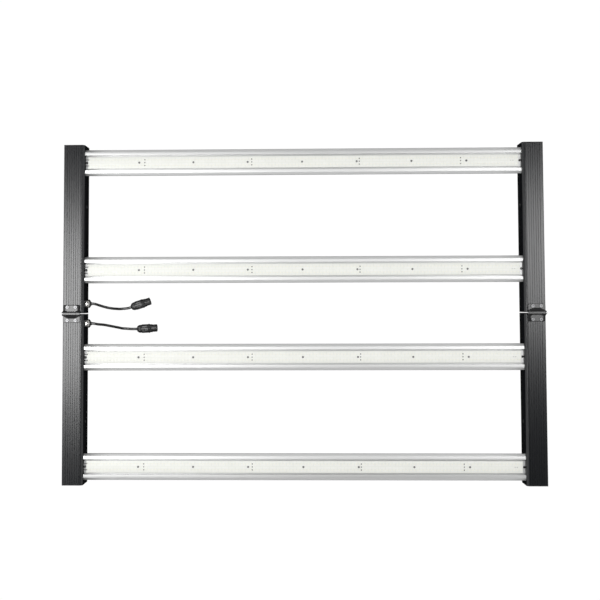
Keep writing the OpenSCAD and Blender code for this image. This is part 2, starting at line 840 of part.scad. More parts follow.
// The pad of the leaf with two knuckles slopes down at both sides
module padded_plate() {
    intersection() {
        leaf_plate();
        translate([leaf_mid, 0, rail_h]) along_y(0, leaf_l + cut) polygon([
            [-leaf_w / 2, 0], [leaf_w / 2, 0], [leaf_w / 2, pad_edge_t], [pad_w / 2, leaf_t],
            [-pad_w / 2, leaf_t], [-leaf_w / 2, pad_edge_t]
        ]);
    }
}

// The boss of the leaf with one knuckle slopes down from the barrel and narrows towards the screws
module boss() {
    neck = mid_knuckle / 2;
    wide = leaf_w / 2;
    intersection() {
        ramp(leaf_x0, leaf_x1, boss_l);
        translate([leaf_mid, 0, rail_h]) linear_extrude(barrel_r + cut) polygon([
            [-neck, 0], [neck, 0], [neck, leaf_root], [wide, leaf_root], [boss_tip, boss_l],
            [-boss_tip, boss_l], [-wide, leaf_root], [-neck, leaf_root]
        ]);
    }
}

module leaf_cuts() {
    rod_x(leaf_x0 - cut, leaf_x1 + cut, 0, pin_z, pin_r + pin_play);
    for (x = hinge_screw_xs)
        translate([x, hinge_screw_y, rail_h - cut]) cylinder(r = leaf_hole_r, h = leaf_t + 2 * cut);
}

// Both hinges are alike, so the right one is the left one turned half round
module one_knuckle_leaf() {
    color(black_steel) difference() {
        union() {
            leaf_plate();
            boss();
            knuckle(mid_x0, mid_x1);
        }
        leaf_cuts();
    }
}

module two_knuckle_leaf() {
    color(black_steel) difference() {
        union() {
            padded_plate();
            for (k = [[leaf_x0, mid_x0 - knuckle_gap], [mid_x1 + knuckle_gap, leaf_x1]]) {
                knuckle(k[0], k[1]);
                ramp(k[0], k[1], ramp_y);
            }
        }
        leaf_cuts();
    }
}

module hinge_screws() {
    color(black_steel) both_sides()
        for (x = hinge_screw_xs) translate([x, hinge_screw_y, rail_h + leaf_t])
            screw(hinge_screw_r, leaf_t + hinge_screw_foot, hinge_head_r, hinge_head_h);
}

module hinge_pin() {
    head_x = leaf_x0 - knuckle_gap;
    color(zinc) {
        rod_x(head_x, leaf_x1 + leaf_inset, 0, pin_z, pin_r);
        translate([head_x, 0, pin_z]) rotate([0, -90, 0]) pan_head(pin_head_r, pin_head_h);
    }
}

front() left_rail();  // front_left_rail
front() right_rail();  // front_right_rail
front() end_caps();  // front_end_caps
front() outer_bar();  // front_outer_bar
front() inner_bar();  // front_inner_bar
front() outer_board();  // front_outer_board
front() inner_board();  // front_inner_board
front() led_chips();  // front_led_chips
front() board_screws();  // front_board_screws
front() bar_brackets();  // front_bar_brackets
front() bracket_rivets();  // front_bracket_rivets
front() bar_screws();  // front_bar_screws
front() hanging_inserts();  // front_hanging_inserts
front() wiring_loom();  // front_wiring_loom
front() lead_grommets();  // front_lead_grommets
front() splice_block();  // front_splice_block
front() gland_body();  // front_gland_body
front() gland_nut();  // front_gland_nut
front() gland_seal();  // front_gland_seal
front() gland_locknut();  // front_gland_locknut
cord(front_route);  // front_cord
plug_tail_nut(front_route);  // front_plug_tail_nut
plug_body(front_route);  // front_plug_body
plug_insert(front_route);  // front_plug_insert
plug_pins(front_route);  // front_plug_pins
front() one_knuckle_leaf();  // front_left_hinge_leaf
front() mirror([1, 0, 0]) two_knuckle_leaf();  // front_right_hinge_leaf
front() hinge_screws();  // front_hinge_screws
hinge_pin();  // left_hinge_pin
mirror([1, 0, 0]) hinge_pin();  // right_hinge_pin
left_rail();  // rear_left_rail
right_rail();  // rear_right_rail
end_caps();  // rear_end_caps
outer_bar();  // rear_outer_bar
inner_bar();  // rear_inner_bar
outer_board();  // rear_outer_board
inner_board();  // rear_inner_board
led_chips();  // rear_led_chips
board_screws();  // rear_board_screws
bar_brackets();  // rear_bar_brackets
bracket_rivets();  // rear_bracket_rivets
bar_screws();  // rear_bar_screws
hanging_inserts();  // rear_hanging_inserts
wiring_loom();  // rear_wiring_loom
lead_grommets();  // rear_lead_grommets
splice_block();  // rear_splice_block
gland_body();  // rear_gland_body
gland_nut();  // rear_gland_nut
gland_seal();  // rear_gland_seal
gland_locknut();  // rear_gland_locknut
cord(rear_route);  // rear_cord
plug_tail_nut(rear_route);  // rear_plug_tail_nut
plug_body(rear_route);  // rear_plug_body
plug_insert(rear_route);  // rear_plug_insert
plug_pins(rear_route);  // rear_plug_pins
two_knuckle_leaf();  // rear_left_hinge_leaf
mirror([1, 0, 0]) one_knuckle_leaf();  // rear_right_hinge_leaf
hinge_screws();  // rear_hinge_screws
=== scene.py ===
"""Folding LED grow light: the looks of its rails, bars, boards, hinges, glands, cables and plugs.

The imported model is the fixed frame. Each piece is built in the frame's own place, in metres.
"""

import math

import bmesh
import bpy
from bpy.props import FloatProperty, FloatVectorProperty, IntProperty, PointerProperty
from mathutils import Matrix, Vector


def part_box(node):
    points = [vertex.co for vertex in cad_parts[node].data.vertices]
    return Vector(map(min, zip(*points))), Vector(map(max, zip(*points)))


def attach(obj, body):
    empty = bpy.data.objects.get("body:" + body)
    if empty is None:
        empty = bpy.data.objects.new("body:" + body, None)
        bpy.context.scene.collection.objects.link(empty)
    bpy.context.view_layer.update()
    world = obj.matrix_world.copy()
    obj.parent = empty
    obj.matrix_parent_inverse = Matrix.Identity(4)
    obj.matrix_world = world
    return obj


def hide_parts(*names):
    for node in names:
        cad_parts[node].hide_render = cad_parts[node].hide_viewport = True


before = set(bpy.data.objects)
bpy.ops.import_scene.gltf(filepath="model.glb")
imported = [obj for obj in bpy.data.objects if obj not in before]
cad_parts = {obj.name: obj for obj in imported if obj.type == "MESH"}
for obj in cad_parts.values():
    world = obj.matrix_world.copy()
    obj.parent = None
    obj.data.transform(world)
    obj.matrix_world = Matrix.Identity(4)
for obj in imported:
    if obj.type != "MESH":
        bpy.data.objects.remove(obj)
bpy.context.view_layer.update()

bl_info = {
    "name": "Folding LED grow light",
    "version": (1, 0, 0),
    "blender": (4, 5, 0),
    "location": "3D View > Sidebar > Grow light",
    "description": "Builds the pieces and finishes of a folding grow light round its CAD frame",
    "category": "Object",
}

MM = 0.001
HALVES = {"front": -1, "rear": 1}
SIDES = {"left": -1, "right": 1}
BARS = ("inner", "outer")
X_AXIS = Vector((1, 0, 0))
UPRIGHT = Matrix.Identity(4)
WHITE = (1.0, 1.0, 1.0, 1.0)

# Runs of the two free cables from the mouth of the gland into the tail of the plug:
# millimetres along X and Y, and the share that is left of the drop to a plug that lies on the floor
CABLE_RUNS = {
    "rear": [
        (0, 0, 1), (3, 0, 1), (8, -0.8, 1), (13, -2.4, 0.95), (20, -4.8, 0.85), (27, -7, 0.7), (34, -9, 0.52),
        (41, -10.5, 0.34), (48, -11.5, 0.18), (55, -12, 0.06), (62, -12.5, -0.02), (69, -12, -0.05),
        (76, -11.5, -0.05), (83, -10.5, -0.03), (90, -8.5, 0), (94, -7.2, 0),
    ],
    "front": [
        (0, 0, 1), (3, 0, 1), (8, -0.8, 1), (13, -1.8, 0.95), (20, -2.5, 0.87), (27, -3.2, 0.75), (34, -4.5, 0.6),
        (41, -6, 0.44), (48, -7.5, 0.28), (55, -9, 0.15), (62, -10.5, 0.05), (69, -12, -0.02), (76, -12.5, -0.05),
        (83, -13, -0.05), (90, -13.5, -0.05), (97, -13.5, -0.03), (104, -13.5, 0), (108, -13.3, 0),
    ],
}


# Sizes and colours


def length(name, description, millimetres):
    """A size in metres whose default is given in millimetres."""
    return FloatProperty(name=name, description=description, default=millimetres * MM, unit="LENGTH", precision=5)


def count(name, description, default, least):
    """A whole number of like things."""
    return IntProperty(name=name, description=description, default=default, min=least)


def tint(name, description, red, green, blue):
    """A colour of a finish."""
    return FloatVectorProperty(
        name=name, description=description, default=(red, green, blue, 1.0), subtype="COLOR", size=4, min=0.0, max=1.0
    )


class GrowLightSizes(bpy.types.PropertyGroup):
    """Sizes of the grow light's pieces."""

    rail_wall: length("Rail wall", "Thickness of the side and back walls of a rail", 2)
    rail_front_wall: length("Rail front wall", "Thickness of the light side wall of a rail", 3)
    bevel_width: length("Bevel width", "Width of the bevel along the inner light side edge of a rail", 5)
    bevel_depth: length("Bevel depth", "Depth of the bevel along the inner light side edge of a rail", 4)
    rail_outer_radius: length("Rail outer radius", "Radius of the outer light side corner of a rail", 1.5)
    rail_back_radius: length("Rail back radius", "Radius of the back corners of a rail", 1.5)
    groove_count: count("Grooves", "Fine grooves along the light side of a rail", 7, 1)
    groove_pitch: length("Groove pitch", "Distance between two grooves", 5.2)
    groove_width: length("Groove width", "Width of a groove", 1.2)
    groove_depth: length("Groove depth", "Depth of a groove", 0.8)
    edge_break: length("Edge break", "Small chamfer on extruded edges", 0.2)
    lip_width: length("Lip width", "Width over the two flat lips of a bar", 48.5)
    foot_width: length("Foot width", "Width of a bar at the ends of its skirts", 50)
    shoulder_drop: length("Shoulder drop", "Drop of the sloping shoulders beside the lips", 3.4)
    blunt_edge: length("Blunt edge", "Height of the blunt edge below a shoulder", 2)
    recess_width: length("Recess width", "Width of the recess for a board", 35)
    recess_depth: length("Recess depth", "Depth of the recess for a board", 4)
    gutter_depth: length("Gutter depth", "Depth of the gutters beside a board", 2)
    seat_width: length("Seat width", "Width of the seat under a board", 27.6)
    floor_thickness: length("Floor thickness", "Thickness of the bar floor", 4)
    skirt: length("Skirt", "Thickness of the side skirts of a bar", 2.5)
    fin: length("Fin", "Thickness of a cooling fin", 1.6)
    fin_pitch: length("Fin pitch", "Distance between two cooling fins", 4.5)
    fin_count: count("Fins", "Fins on each side of the middle channel", 3, 1)
    channel_width: length("Channel width", "Width of the middle channel under a bar", 22)
    chip_columns: count("Chips in a row", "Light chips in one row of a board", 128, 2)
    chip_row_gap: length("Chip row gap", "Distance between the two rows of chips", 13.5)
    chip_side: length("Chip side", "Side of a light chip", 3)
    chip_height: length("Chip height", "Height of a light chip", 0.7)
    chip_window: length("Chip window", "Radius of the phosphor window of a chip", 1.2)
    window_height: length("Window height", "Height of the phosphor window of a chip", 0.08)
    bead_radius: length("Bead radius", "Radius of a dark bead between the chips", 1.25)
    bead_height: length("Bead height", "Height of a dark bead", 0.7)
    screw_recess: length("Screw recess", "Depth of the cross recess in a screw head", 0.9)
    leaf_thickness: length("Leaf thickness", "Thickness of a hinge leaf", 2.5)
    knuckle_radius: length("Knuckle radius", "Radius of a hinge knuckle", 5)
    pin_radius: length("Pin radius", "Radius of a hinge pin", 2.5)
    hinge_screw_side: length("Hinge screw side", "Distance of a hinge screw from the middle of its leaf", 9.3)
    hinge_screw_ahead: length("Hinge screw ahead", "Distance of a hinge screw from the fold line", 15.3)
    rivet_offset: length("Rivet offset", "Distance of a bracket rivet from the middle of its bar", 5.5)
    lead_offset: length("Lead offset", "Distance of a lead from the middle of its bar", 7)
    lead_radius: length("Lead radius", "Radius of a lead from a board", 0.9)
    cable_radius: length("Cable radius", "Radius of a jacketed cable", 3)
    plug_radius: length("Plug radius", "Largest radius of a plug", 10.5)
    thread_pitch: length("Thread pitch", "Distance between two turns of a plug thread", 1.7)
    thread_depth: length("Thread depth", "Depth of a plug thread", 0.4)
    flute_count: count("Flutes", "Flutes round the grip of a plug", 18, 3)
    flute_depth: length("Flute depth", "Depth of a flute", 0.55)


class GrowLightColours(bpy.types.PropertyGroup):
    """Colours of the grow light's finishes."""

    anodised: tint("Black anodised", "Rails", 0.0028, 0.0036, 0.0050)
    aluminium: tint("Silver aluminium", "Light bars and rivets", 0.77, 0.775, 0.77)
    board: tint("White board", "Solder mask of the boards", 0.84, 0.846, 0.808)
    chip: tint("Chip body", "Housing of a light chip", 0.87, 0.87, 0.83)
    phosphor: tint("Phosphor", "Window of a light chip", 0.85, 0.835, 0.72)
    bead: tint("Dark bead", "Dark beads between the chips", 0.030, 0.028, 0.030)
    tin: tint("Solder", "Solder pads on the boards", 0.55, 0.55, 0.54)
    zinc: tint("Zinc plate", "Brackets and hinge pins", 0.68, 0.69, 0.70)
    dull_zinc: tint("Dull zinc", "Board screws", 0.20, 0.20, 0.205)
    black_steel: tint("Black steel", "Hinge leaves, inserts and bar screws", 0.008, 0.008, 0.0085)
    black_plate: tint("Black plate", "Hinge screws", 0.09, 0.09, 0.092)
    nickel: tint("Nickel plate", "Cable glands", 0.58, 0.57, 0.55)
    nylon: tint("Black nylon", "Plugs and rail caps", 0.008, 0.008, 0.0085)
    rubber: tint("Black rubber", "Cables, leads, grommets and seals", 0.006, 0.006, 0.006)
    pale_plastic: tint("Pale plastic", "Splice block", 0.66, 0.64, 0.58)
    contact: tint("Contact brass", "Contacts of the plugs", 0.72, 0.50, 0.18)


def sizes():
    """The size properties of the scene."""
    return bpy.context.scene.grow_light_sizes


def colours():
    """The colour properties of the scene."""
    return bpy.context.scene.grow_light_colours


# Shapes


def in_metres(*points):
    """Points that are given in millimetres, in metres."""
    return [tuple(value * MM for value in point) for point in points]


def box_middle(node_name):
    """X, Y and Z of the middle of a CAD node's box."""
    return [(low + high) / 2 for low, high in zip(*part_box(node_name))]


def arc(centre_x, centre_y, radius, start, end, steps):
    """Points on an arc in a plane, with angles in degrees."""
    turn = [math.radians(start + (end - start) * i / steps) for i in range(steps + 1)]
    return [(centre_x + radius * math.cos(a), centre_y + radius * math.sin(a)) for a in turn]


def rounded_box(x0, y0, x1, y1, low, high, steps=6):
    """A closed outline of a box with one radius at its low corners and one at its high corners."""
    return (
        arc(x0 + low, y0 + low, low, 180, 270, steps)
        + arc(x1 - low, y0 + low, low, 270, 360, steps)
        + arc(x1 - high, y1 - high, high, 0, 90, steps)
        + arc(x0 + high, y1 - high, high, 90, 180, steps)
    )


def axis_place(origin, direction):
    """A frame whose Z axis points along a direction."""
    turned = Vector(direction).to_track_quat("Z", "Y").to_matrix().to_4x4()
    return Matrix.Translation(origin) @ turned


def along_axis(axis, point, level):
    """A profile point set on the X or the Y axis at a level along it."""
    across, up = point
    return Vector((level, across, up)) if axis == "X" else Vector((across, level, up))


def bridge(bm, low, high):
    """Faces between two rings of points. Either ring may be a single point."""
    total = max(len(low), len(high))
    for k in range(total):
        n = (k + 1) % total
        if len(low) == 1:
            bm.faces.new((low[0], high[n], high[k]))
        elif len(high) == 1:
            bm.faces.new((low[k], low[n], high[0]))
        else:
            bm.faces.new((low[k], low[n], high[n], high[k]))


def closed_shell(bm, rings):
    """Faces through a row of rings, closed at both ends."""
    for low, high in zip(rings, rings[1:]):
        bridge(bm, low, high)
    bm.faces.new(reversed(rings[0]))
    bm.faces.new(rings[-1])


def extruded(outlines, axis, start, end):
    """A prism along X or Y from closed outlines. The first one is the outside and the others are hollows."""
    bm = bmesh.new()
    rims = ([], [])
    for outline in outlines:
        loops = [[bm.verts.new(along_axis(axis, p, level)) for p in outline] for level in (start, end)]
        bridge(bm, *loops)
        for rim, loop in zip(rims, loops):
            rim += [bm.edges.get(pair) for pair in zip(loop, loop[1:] + loop[:1])]
    for rim in rims:
        bmesh.ops.triangle_fill(bm, use_beauty=True, edges=rim)
    bmesh.ops.recalc_face_normals(bm, faces=bm.faces)
    return bm


def stacked(*levels):
    """A closed shape through (outline, height) levels. The outlines have equal counts of points."""
    bm = bmesh.new()
    closed_shell(bm, [[bm.verts.new((x, y, z)) for x, y in outline] for outline, z in levels])
    bmesh.ops.triangulate(bm, faces=bm.faces)
    bmesh.ops.recalc_face_normals(bm, faces=bm.faces)
    return bm


def lathe(profile, place, segments=48, closed=False, flutes=None):
    """A turned shape from (radius, height) points. Flutes are (count, depth, low, high) cut into the outside."""
    bm = bmesh.new()
    turns = [math.tau * k / segments for k in range(segments)]
    flute_count, depth, start, end = flutes or (0, 0, 0, 0)
    rings = []
    for radius, height in profile:
        if radius == 0:
            rings.append([bm.verts.new(place @ Vector((0, 0, height)))])
            continue
        ring = []
        for turn in turns:
            reach = radius
            if flutes and start <= height <= end:
                wave = 0.5 + 0.5 * math.cos(turn * flute_count)
                reach -= depth * wave**3
            ring.append(bm.verts.new(place @ Vector((reach * math.cos(turn), reach * math.sin(turn), height))))
        rings.append(ring)
    for low, high in zip(rings, rings[1:] + rings[:1] if closed else rings[1:]):
        bridge(bm, low, high)
    bmesh.ops.recalc_face_normals(bm, faces=bm.faces)
    return bm


def rod(start, end, radius, segments=32):
    """A plain closed rod between two points, for cutting holes."""
    start, end = Vector(start), Vector(end)
    reach = (end - start).length
    return lathe([(0, 0), (radius, 0), (radius, reach), (0, reach)], axis_place(start, end - start), segments)


def smooth_route(points, steps):
    """A smooth curve through points, as close points on it."""
    points = [Vector(p) for p in points]
    padded = [2 * points[0] - points[1], *points, 2 * points[-1] - points[-2]]
    route = []
    for a, b, c, d in zip(padded, padded[1:], padded[2:], padded[3:]):
        for i in range(steps):
            t = i / steps
            bend = (2 * a - 5 * b + 4 * c - d) * t**2 + (3 * b - a - 3 * c + d) * t**3
            route.append(0.5 * (2 * b + (c - a) * t + bend))
    return [*route, points[-1]]


def tube(route, radius, sides):
    """A closed round tube along a route, with a frame that doesn't twist."""
    bm = bmesh.new()
    last = len(route) - 1
    turns = [math.tau * k / sides for k in range(sides)]
    side = (route[1] - route[0]).normalized().orthogonal().normalized()
    rings = []
    for i, point in enumerate(route):
        heading = (route[min(i + 1, last)] - route[max(i - 1, 0)]).normalized()
        side = (side - heading * side.dot(heading)).normalized()
        up = heading.cross(side)
        rings.append([bm.verts.new(point + radius * (side * math.cos(t) + up * math.sin(t))) for t in turns])
    closed_shell(bm, rings)
    bmesh.ops.recalc_face_normals(bm, faces=bm.faces)
    return bm


def joined(shapes):
    """Several shapes in one."""
    whole = bmesh.new()
    for shape in shapes:
        part = bpy.data.meshes.new("part")
        shape.to_mesh(part)
        shape.free()
        whole.from_mesh(part)
        bpy.data.meshes.remove(part)
    return whole


def placed(name, data):
    """An object in the scene that holds a mesh, a camera or a light."""
    holder = bpy.data.objects.new(name, data)
    bpy.context.scene.collection.objects.link(holder)
    return holder


def loose_object(name, shape):
    """An object that holds a shape."""
    mesh = bpy.data.meshes.new(name)
    shape.to_mesh(mesh)
    shape.free()
    return placed(name, mesh)


def evaluated_mesh(holder):
    """The plain mesh that an object's modifiers make."""
    bpy.context.view_layer.update()
    graph = bpy.context.evaluated_depsgraph_get()
    return bpy.data.meshes.new_from_object(holder.evaluated_get(graph), depsgraph=graph)


def discard(holder):
    """Removes an object and its mesh."""
    mesh = holder.data
    bpy.data.objects.remove(holder)
    bpy.data.meshes.remove(mesh)


def combined(base, tool, operation="DIFFERENCE"):
    """Two shapes cut, joined or intersected."""
    holders = [loose_object("base", base), loose_object("tool", tool)]
    modifier = holders[0].modifiers.new("Combine", "BOOLEAN")
    modifier.object = holders[1]
    modifier.operation = operation
    modifier.solver = "EXACT"
    mesh = evaluated_mesh(holders[0])
    result = bmesh.new()
    result.from_mesh(mesh)
    bpy.data.meshes.remove(mesh)
    for holder in holders:
        discard(holder)
    if not result.faces:
        raise RuntimeError("a shape was cut away whole")
    return result


def softened(bm, width, angle=40):
    """Rounds the edges of a shape that are sharper than an angle in degrees."""
    limit = math.radians(angle)
    sharp = [e for e in bm.edges if len(e.link_faces) == 2 and e.calc_face_angle(0) > limit]
    bmesh.ops.bevel(bm, geom=sharp, offset=width, segments=2, profile=0.5, affect="EDGES", clamp_overlap=True)
    return bm


def finished(holder, look, half, nodes, angle=35):
    """Gives an object its finish, its body and the nodes that it stands for."""
    mesh = holder.data
    mesh.materials.clear()
    mesh.materials.append(finish(look))
    for face in mesh.polygons:
        face.use_smooth = True
        face.material_index = 0
    mesh.set_sharp_from_angle(angle=math.radians(angle))
    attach(holder, half + "_half")
    if nodes:
        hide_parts(*nodes)
    return holder


def piece(name, shape, look, half, slot, *nodes, angle=35):
    """A piece of one half of the light, made from a shape."""
    return finished(loose_object(name, shape), look, half, nodes, angle)


# Node trees


def kept_group(name, make):
    """A node group by its name, made at its first use."""
    return bpy.data.node_groups.get(name) or make(name)


def set_input(tree, target, value):
    """Links a socket to an input, or sets its value."""
    if isinstance(value, bpy.types.NodeSocket):
        tree.links.new(value, target)
    else:
        target.default_value = value


def node(tree, kind, **links):
    """A node whose inputs are linked to sockets or set to values. Inputs are named, with _ for a space."""
    made = tree.nodes.new(kind)
    for label, value in links.items():
        set_input(tree, made.inputs[label.replace("_", " ")], value)
    return made


def math_node(tree, operation, first, second=None, clamp=False):
    """The output of a math node."""
    made = tree.nodes.new("ShaderNodeMath")
    made.operation = operation
    made.use_clamp = clamp
    set_input(tree, made.inputs[0], first)
    if second is not None:
        set_input(tree, made.inputs[1], second)
    return made.outputs[0]


def geometry_tree(name, sockets):
    """A tree with named inputs and one geometry output. The sockets are (name, kind, default)."""
    tree = bpy.data.node_groups.new(name, "GeometryNodeTree")
    tree.interface.new_socket("Geometry", in_out="OUTPUT", socket_type="NodeSocketGeometry")
    for label, kind, default in sockets:
        made = tree.interface.new_socket(label, in_out="INPUT", socket_type="NodeSocket" + kind)
        if default is not None:
            made.default_value = default
    return tree, tree.nodes.new("NodeGroupInput").outputs


def turned_copies(tree, points, shape, turn):
    """Copies of a shape on points, turned about Z."""
    euler = node(tree, "ShaderNodeCombineXYZ", Z=turn)
    turned = node(tree, "FunctionNodeEulerToRotation", Euler=euler.outputs[0])
    made = node(tree, "GeometryNodeInstanceOnPoints", Points=points, Instance=shape, Rotation=turned.outputs[0])
    return made.outputs[0]


def end_tree(tree, geometry, look):
    """Ends a tree in Realize Instances and Set Material."""
    real = node(tree, "GeometryNodeRealizeInstances", Geometry=geometry)
    dressed = node(tree, "GeometryNodeSetMaterial", Geometry=real.outputs[0], Material=look)
    tree.links.new(dressed.outputs[0], tree.nodes.new("NodeGroupOutput").inputs[0])
    return tree


def fastener_tree(name):
    """Copies of one fastener at the points of a mesh, each turned by its own chance angle."""
    tree, given = geometry_tree(
        name,
        [("Places", "Geometry", None), ("Fastener", "Object", None), ("Turn", "Float", 0.0), ("Seed", "Int", 1),
         ("Finish", "Material", None)],
    )
    chance = tree.nodes.new("FunctionNodeRandomValue")
    chance.data_type = "FLOAT"
    takes = {socket.identifier: socket for socket in chance.inputs}
    gives = {socket.identifier: socket for socket in chance.outputs}
    tree.links.new(given["Turn"], takes["Max_001"])
    tree.links.new(given["Seed"], takes["Seed"])
    shape = node(tree, "GeometryNodeObjectInfo", Object=given["Fastener"], As_Instance=True)
    copies = turned_copies(tree, given["Places"], shape.outputs["Geometry"], gives["Value_001"])
    return end_tree(tree, copies, given["Finish"])


def chip_tree(name):
    """Rows of low prisms on boards. The points of the mesh are the middles of the boards."""
    tree, given = geometry_tree(
        name,
        [("Boards", "Geometry", None), ("Columns", "Int", 2), ("Pitch", "Float", 0.01), ("Row gap", "Float", 0.01),
         ("Sides", "Int", 4), ("Radius", "Float", 0.001), ("Height", "Float", 0.001), ("Turn", "Float", 0.0),
         ("Finish", "Material", None)],
    )
    columns = given["Columns"]
    span = math_node(tree, "MULTIPLY", math_node(tree, "SUBTRACT", columns, 1.0), given["Pitch"])
    rows = node(
        tree, "GeometryNodeMeshGrid", Size_X=span, Size_Y=given["Row gap"], Vertices_X=columns, Vertices_Y=2
    )
    laid = node(tree, "GeometryNodeInstanceOnPoints", Points=given["Boards"], Instance=rows.outputs["Mesh"])
    places = node(tree, "GeometryNodeRealizeInstances", Geometry=laid.outputs[0])
    prism = node(
        tree, "GeometryNodeMeshCylinder", Vertices=given["Sides"], Radius=given["Radius"], Depth=given["Height"]
    )
    copies = turned_copies(tree, places.outputs[0], prism.outputs["Mesh"], given["Turn"])
    return end_tree(tree, copies, given["Finish"])


def grown(name, places, tree, inputs):
    """An object with the plain mesh that a tree makes from places."""
    mesh = bpy.data.meshes.new(name)
    mesh.from_pydata([tuple(p) for p in places], [], [])
    holder = placed(name, mesh)
    modifier = holder.modifiers.new("Grow", "NODES")
    modifier.node_group = tree
    known = {item.name: item.identifier for item in tree.interface.items_tree if item.in_out == "INPUT"}
    for label, value in inputs.items():
        modifier[known[label]] = value
    made = evaluated_mesh(holder)
    holder.modifiers.remove(modifier)
    holder.data = made
    bpy.data.meshes.remove(mesh)
    made.name = name
    if not made.polygons:
        raise RuntimeError(name + " came out empty")
    return holder


def fasteners(name, places, shape, look, half, slot, *nodes, turn=0.0, seed=1):
    """A group of like fasteners of one half, as one piece."""
    pattern = loose_object(name + "_pattern", shape)
    for face in pattern.data.polygons:
        face.use_smooth = True
    inputs = {"Fastener": pattern, "Turn": turn, "Seed": seed, "Finish": finish(look)}
    holder = grown(name, places, kept_group("Fasteners", fastener_tree), inputs)
    discard(pattern)
    return finished(holder, look, half, nodes)


# Finishes


def object_place(tree):
    """The place on a piece, in its own coordinates."""
    return tree.nodes.new("ShaderNodeTexCoord").outputs["Object"]


def shader_group(name, inputs, output):
    """A shader node group with named sockets, its inputs and its output."""
    tree = bpy.data.node_groups.new(name, "ShaderNodeTree")
    for label, kind, default in inputs:
        tree.interface.new_socket(label, in_out="INPUT", socket_type="NodeSocket" + kind).default_value = default
    tree.interface.new_socket(output, in_out="OUTPUT", socket_type="NodeSocketFloat")
    return tree, tree.nodes.new("NodeGroupInput").outputs, tree.nodes.new("NodeGroupOutput").inputs[output]


def surface_grain(name):
    """Fine variation over a surface, stretched along its axes: a value from 0 to 1."""
    tree, given, out = shader_group(
        name, [("Stretch", "Vector", (1.0, 1.0, 1.0)), ("Detail", "Float", 3.0), ("Contrast", "Float", 1.0)], "Value"
    )
    spread = node(tree, "ShaderNodeMapping", Vector=object_place(tree), Scale=given["Stretch"])
    noise = node(
        tree, "ShaderNodeTexNoise", Vector=spread.outputs[0], Scale=1.0, Detail=given["Detail"], Roughness=0.6
    )
    centred = math_node(tree, "SUBTRACT", noise.outputs["Fac"], 0.5)
    scaled = math_node(tree, "MULTIPLY", centred, given["Contrast"])
    tree.links.new(math_node(tree, "ADD", scaled, 0.5, clamp=True), out)
    return tree


def edge_wear(name):
    """Wear along edges: a mask that is 1 on worn edges, broken up by a fine noise."""
    tree, given, out = shader_group(
        name, [("Radius", "Float", 0.0006), ("Amount", "Float", 1.0), ("Breakup", "Float", 300.0)], "Mask"
    )
    rounded = node(tree, "ShaderNodeBevel", Radius=given["Radius"])
    rounded.samples = 4
    lean = tree.nodes.new("ShaderNodeVectorMath")
    lean.operation = "DOT_PRODUCT"
    tree.links.new(rounded.outputs[0], lean.inputs[0])
    tree.links.new(tree.nodes.new("ShaderNodeNewGeometry").outputs["Normal"], lean.inputs[1])
    sharpness = 6.0
    edge = math_node(tree, "MULTIPLY", math_node(tree, "SUBTRACT", 1.0, lean.outputs["Value"]), sharpness, clamp=True)
    noise = node(
        tree, "ShaderNodeTexNoise", Vector=object_place(tree), Scale=given["Breakup"], Detail=3.0, Roughness=0.6
    )
    broken = math_node(tree, "MULTIPLY", edge, noise.outputs["Fac"])
    tree.links.new(math_node(tree, "MULTIPLY", broken, given["Amount"], clamp=True), out)
    return tree


def use_group(tree, group, **values):
    """Places a node group in a material with its own values."""
    made = tree.nodes.new("ShaderNodeGroup")
    made.node_tree = group
    for label, value in values.items():
        made.inputs[label].default_value = value
    return made.outputs[0]


def mixed_colour(tree, share, first, second, blend="MIX"):
    """A mix of two colours by a share."""
    made = tree.nodes.new("ShaderNodeMix")
    made.data_type = "RGBA"
    made.blend_type = blend
    set_input(tree, made.inputs[0], share)
    set_input(tree, made.inputs[6], first)
    set_input(tree, made.inputs[7], second)
    return made.outputs[2]


def ranged(tree, value, start, end, low=0.0, high=1.0):
    """A value that goes from low to high between start and end."""
    made = node(tree, "ShaderNodeMapRange", Value=value, From_Min=start, From_Max=end, To_Min=low, To_Max=high)
    return made.outputs[0]


def shade(colour, factor):
    """A colour made darker or lighter."""
    return tuple(min(1.0, c * factor) for c in colour[:3]) + (1.0,)


def bar_painted_shade(tree, shader, base):
    """Paints shade into a bar's colour in its gutters and at its ends below the lips next to the rails, most on the
    left, and makes the bar matt below its floor.
    """
    bar_top, bar_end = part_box("front_inner_bar")[1].z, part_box("front_inner_bar")[1].x
    gutter_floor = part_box("front_inner_board")[0].z - sizes().gutter_depth
    axes = node(tree, "ShaderNodeSeparateXYZ", Vector=object_place(tree)).outputs
    away = math_node(tree, "ABSOLUTE", math_node(tree, "SUBTRACT", axes["Z"], gutter_floor))
    # Painted shade: the gutters beside a board are darkened in the colour.
    gutter = ranged(tree, away, 0.3 * MM, 1.1 * MM, 0.72, 1.0)
    # Painted shade: below the lips, the last 70 mm of each end next to the black rails are darkened in the colour, more
    # at the left end.
    below_lips = ranged(tree, axes["Z"], bar_top - 0.8 * MM, bar_top - 0.3 * MM, 0.7, 0.0)
    near_end = ranged(tree, math_node(tree, "ABSOLUTE", axes["X"]), bar_end - 70 * MM, bar_end)
    leftward = ranged(tree, axes["X"], -100 * MM, 100 * MM, 1.0, 0.4)
    end_shade_share = math_node(tree, "MULTIPLY", math_node(tree, "POWER", near_end, 2.0), leftward)
    ends = math_node(tree, "SUBTRACT", 1.0, math_node(tree, "MULTIPLY", end_shade_share, below_lips))
    bright = ranged(tree, axes["Z"], gutter_floor - 1.2 * MM, gutter_floor - 0.4 * MM, 0.25, 1.0)
    tree.links.new(bright, shader.inputs["Metallic"])
    return mixed_colour(tree, 1.0, base, math_node(tree, "MULTIPLY", gutter, ends), "MULTIPLY")


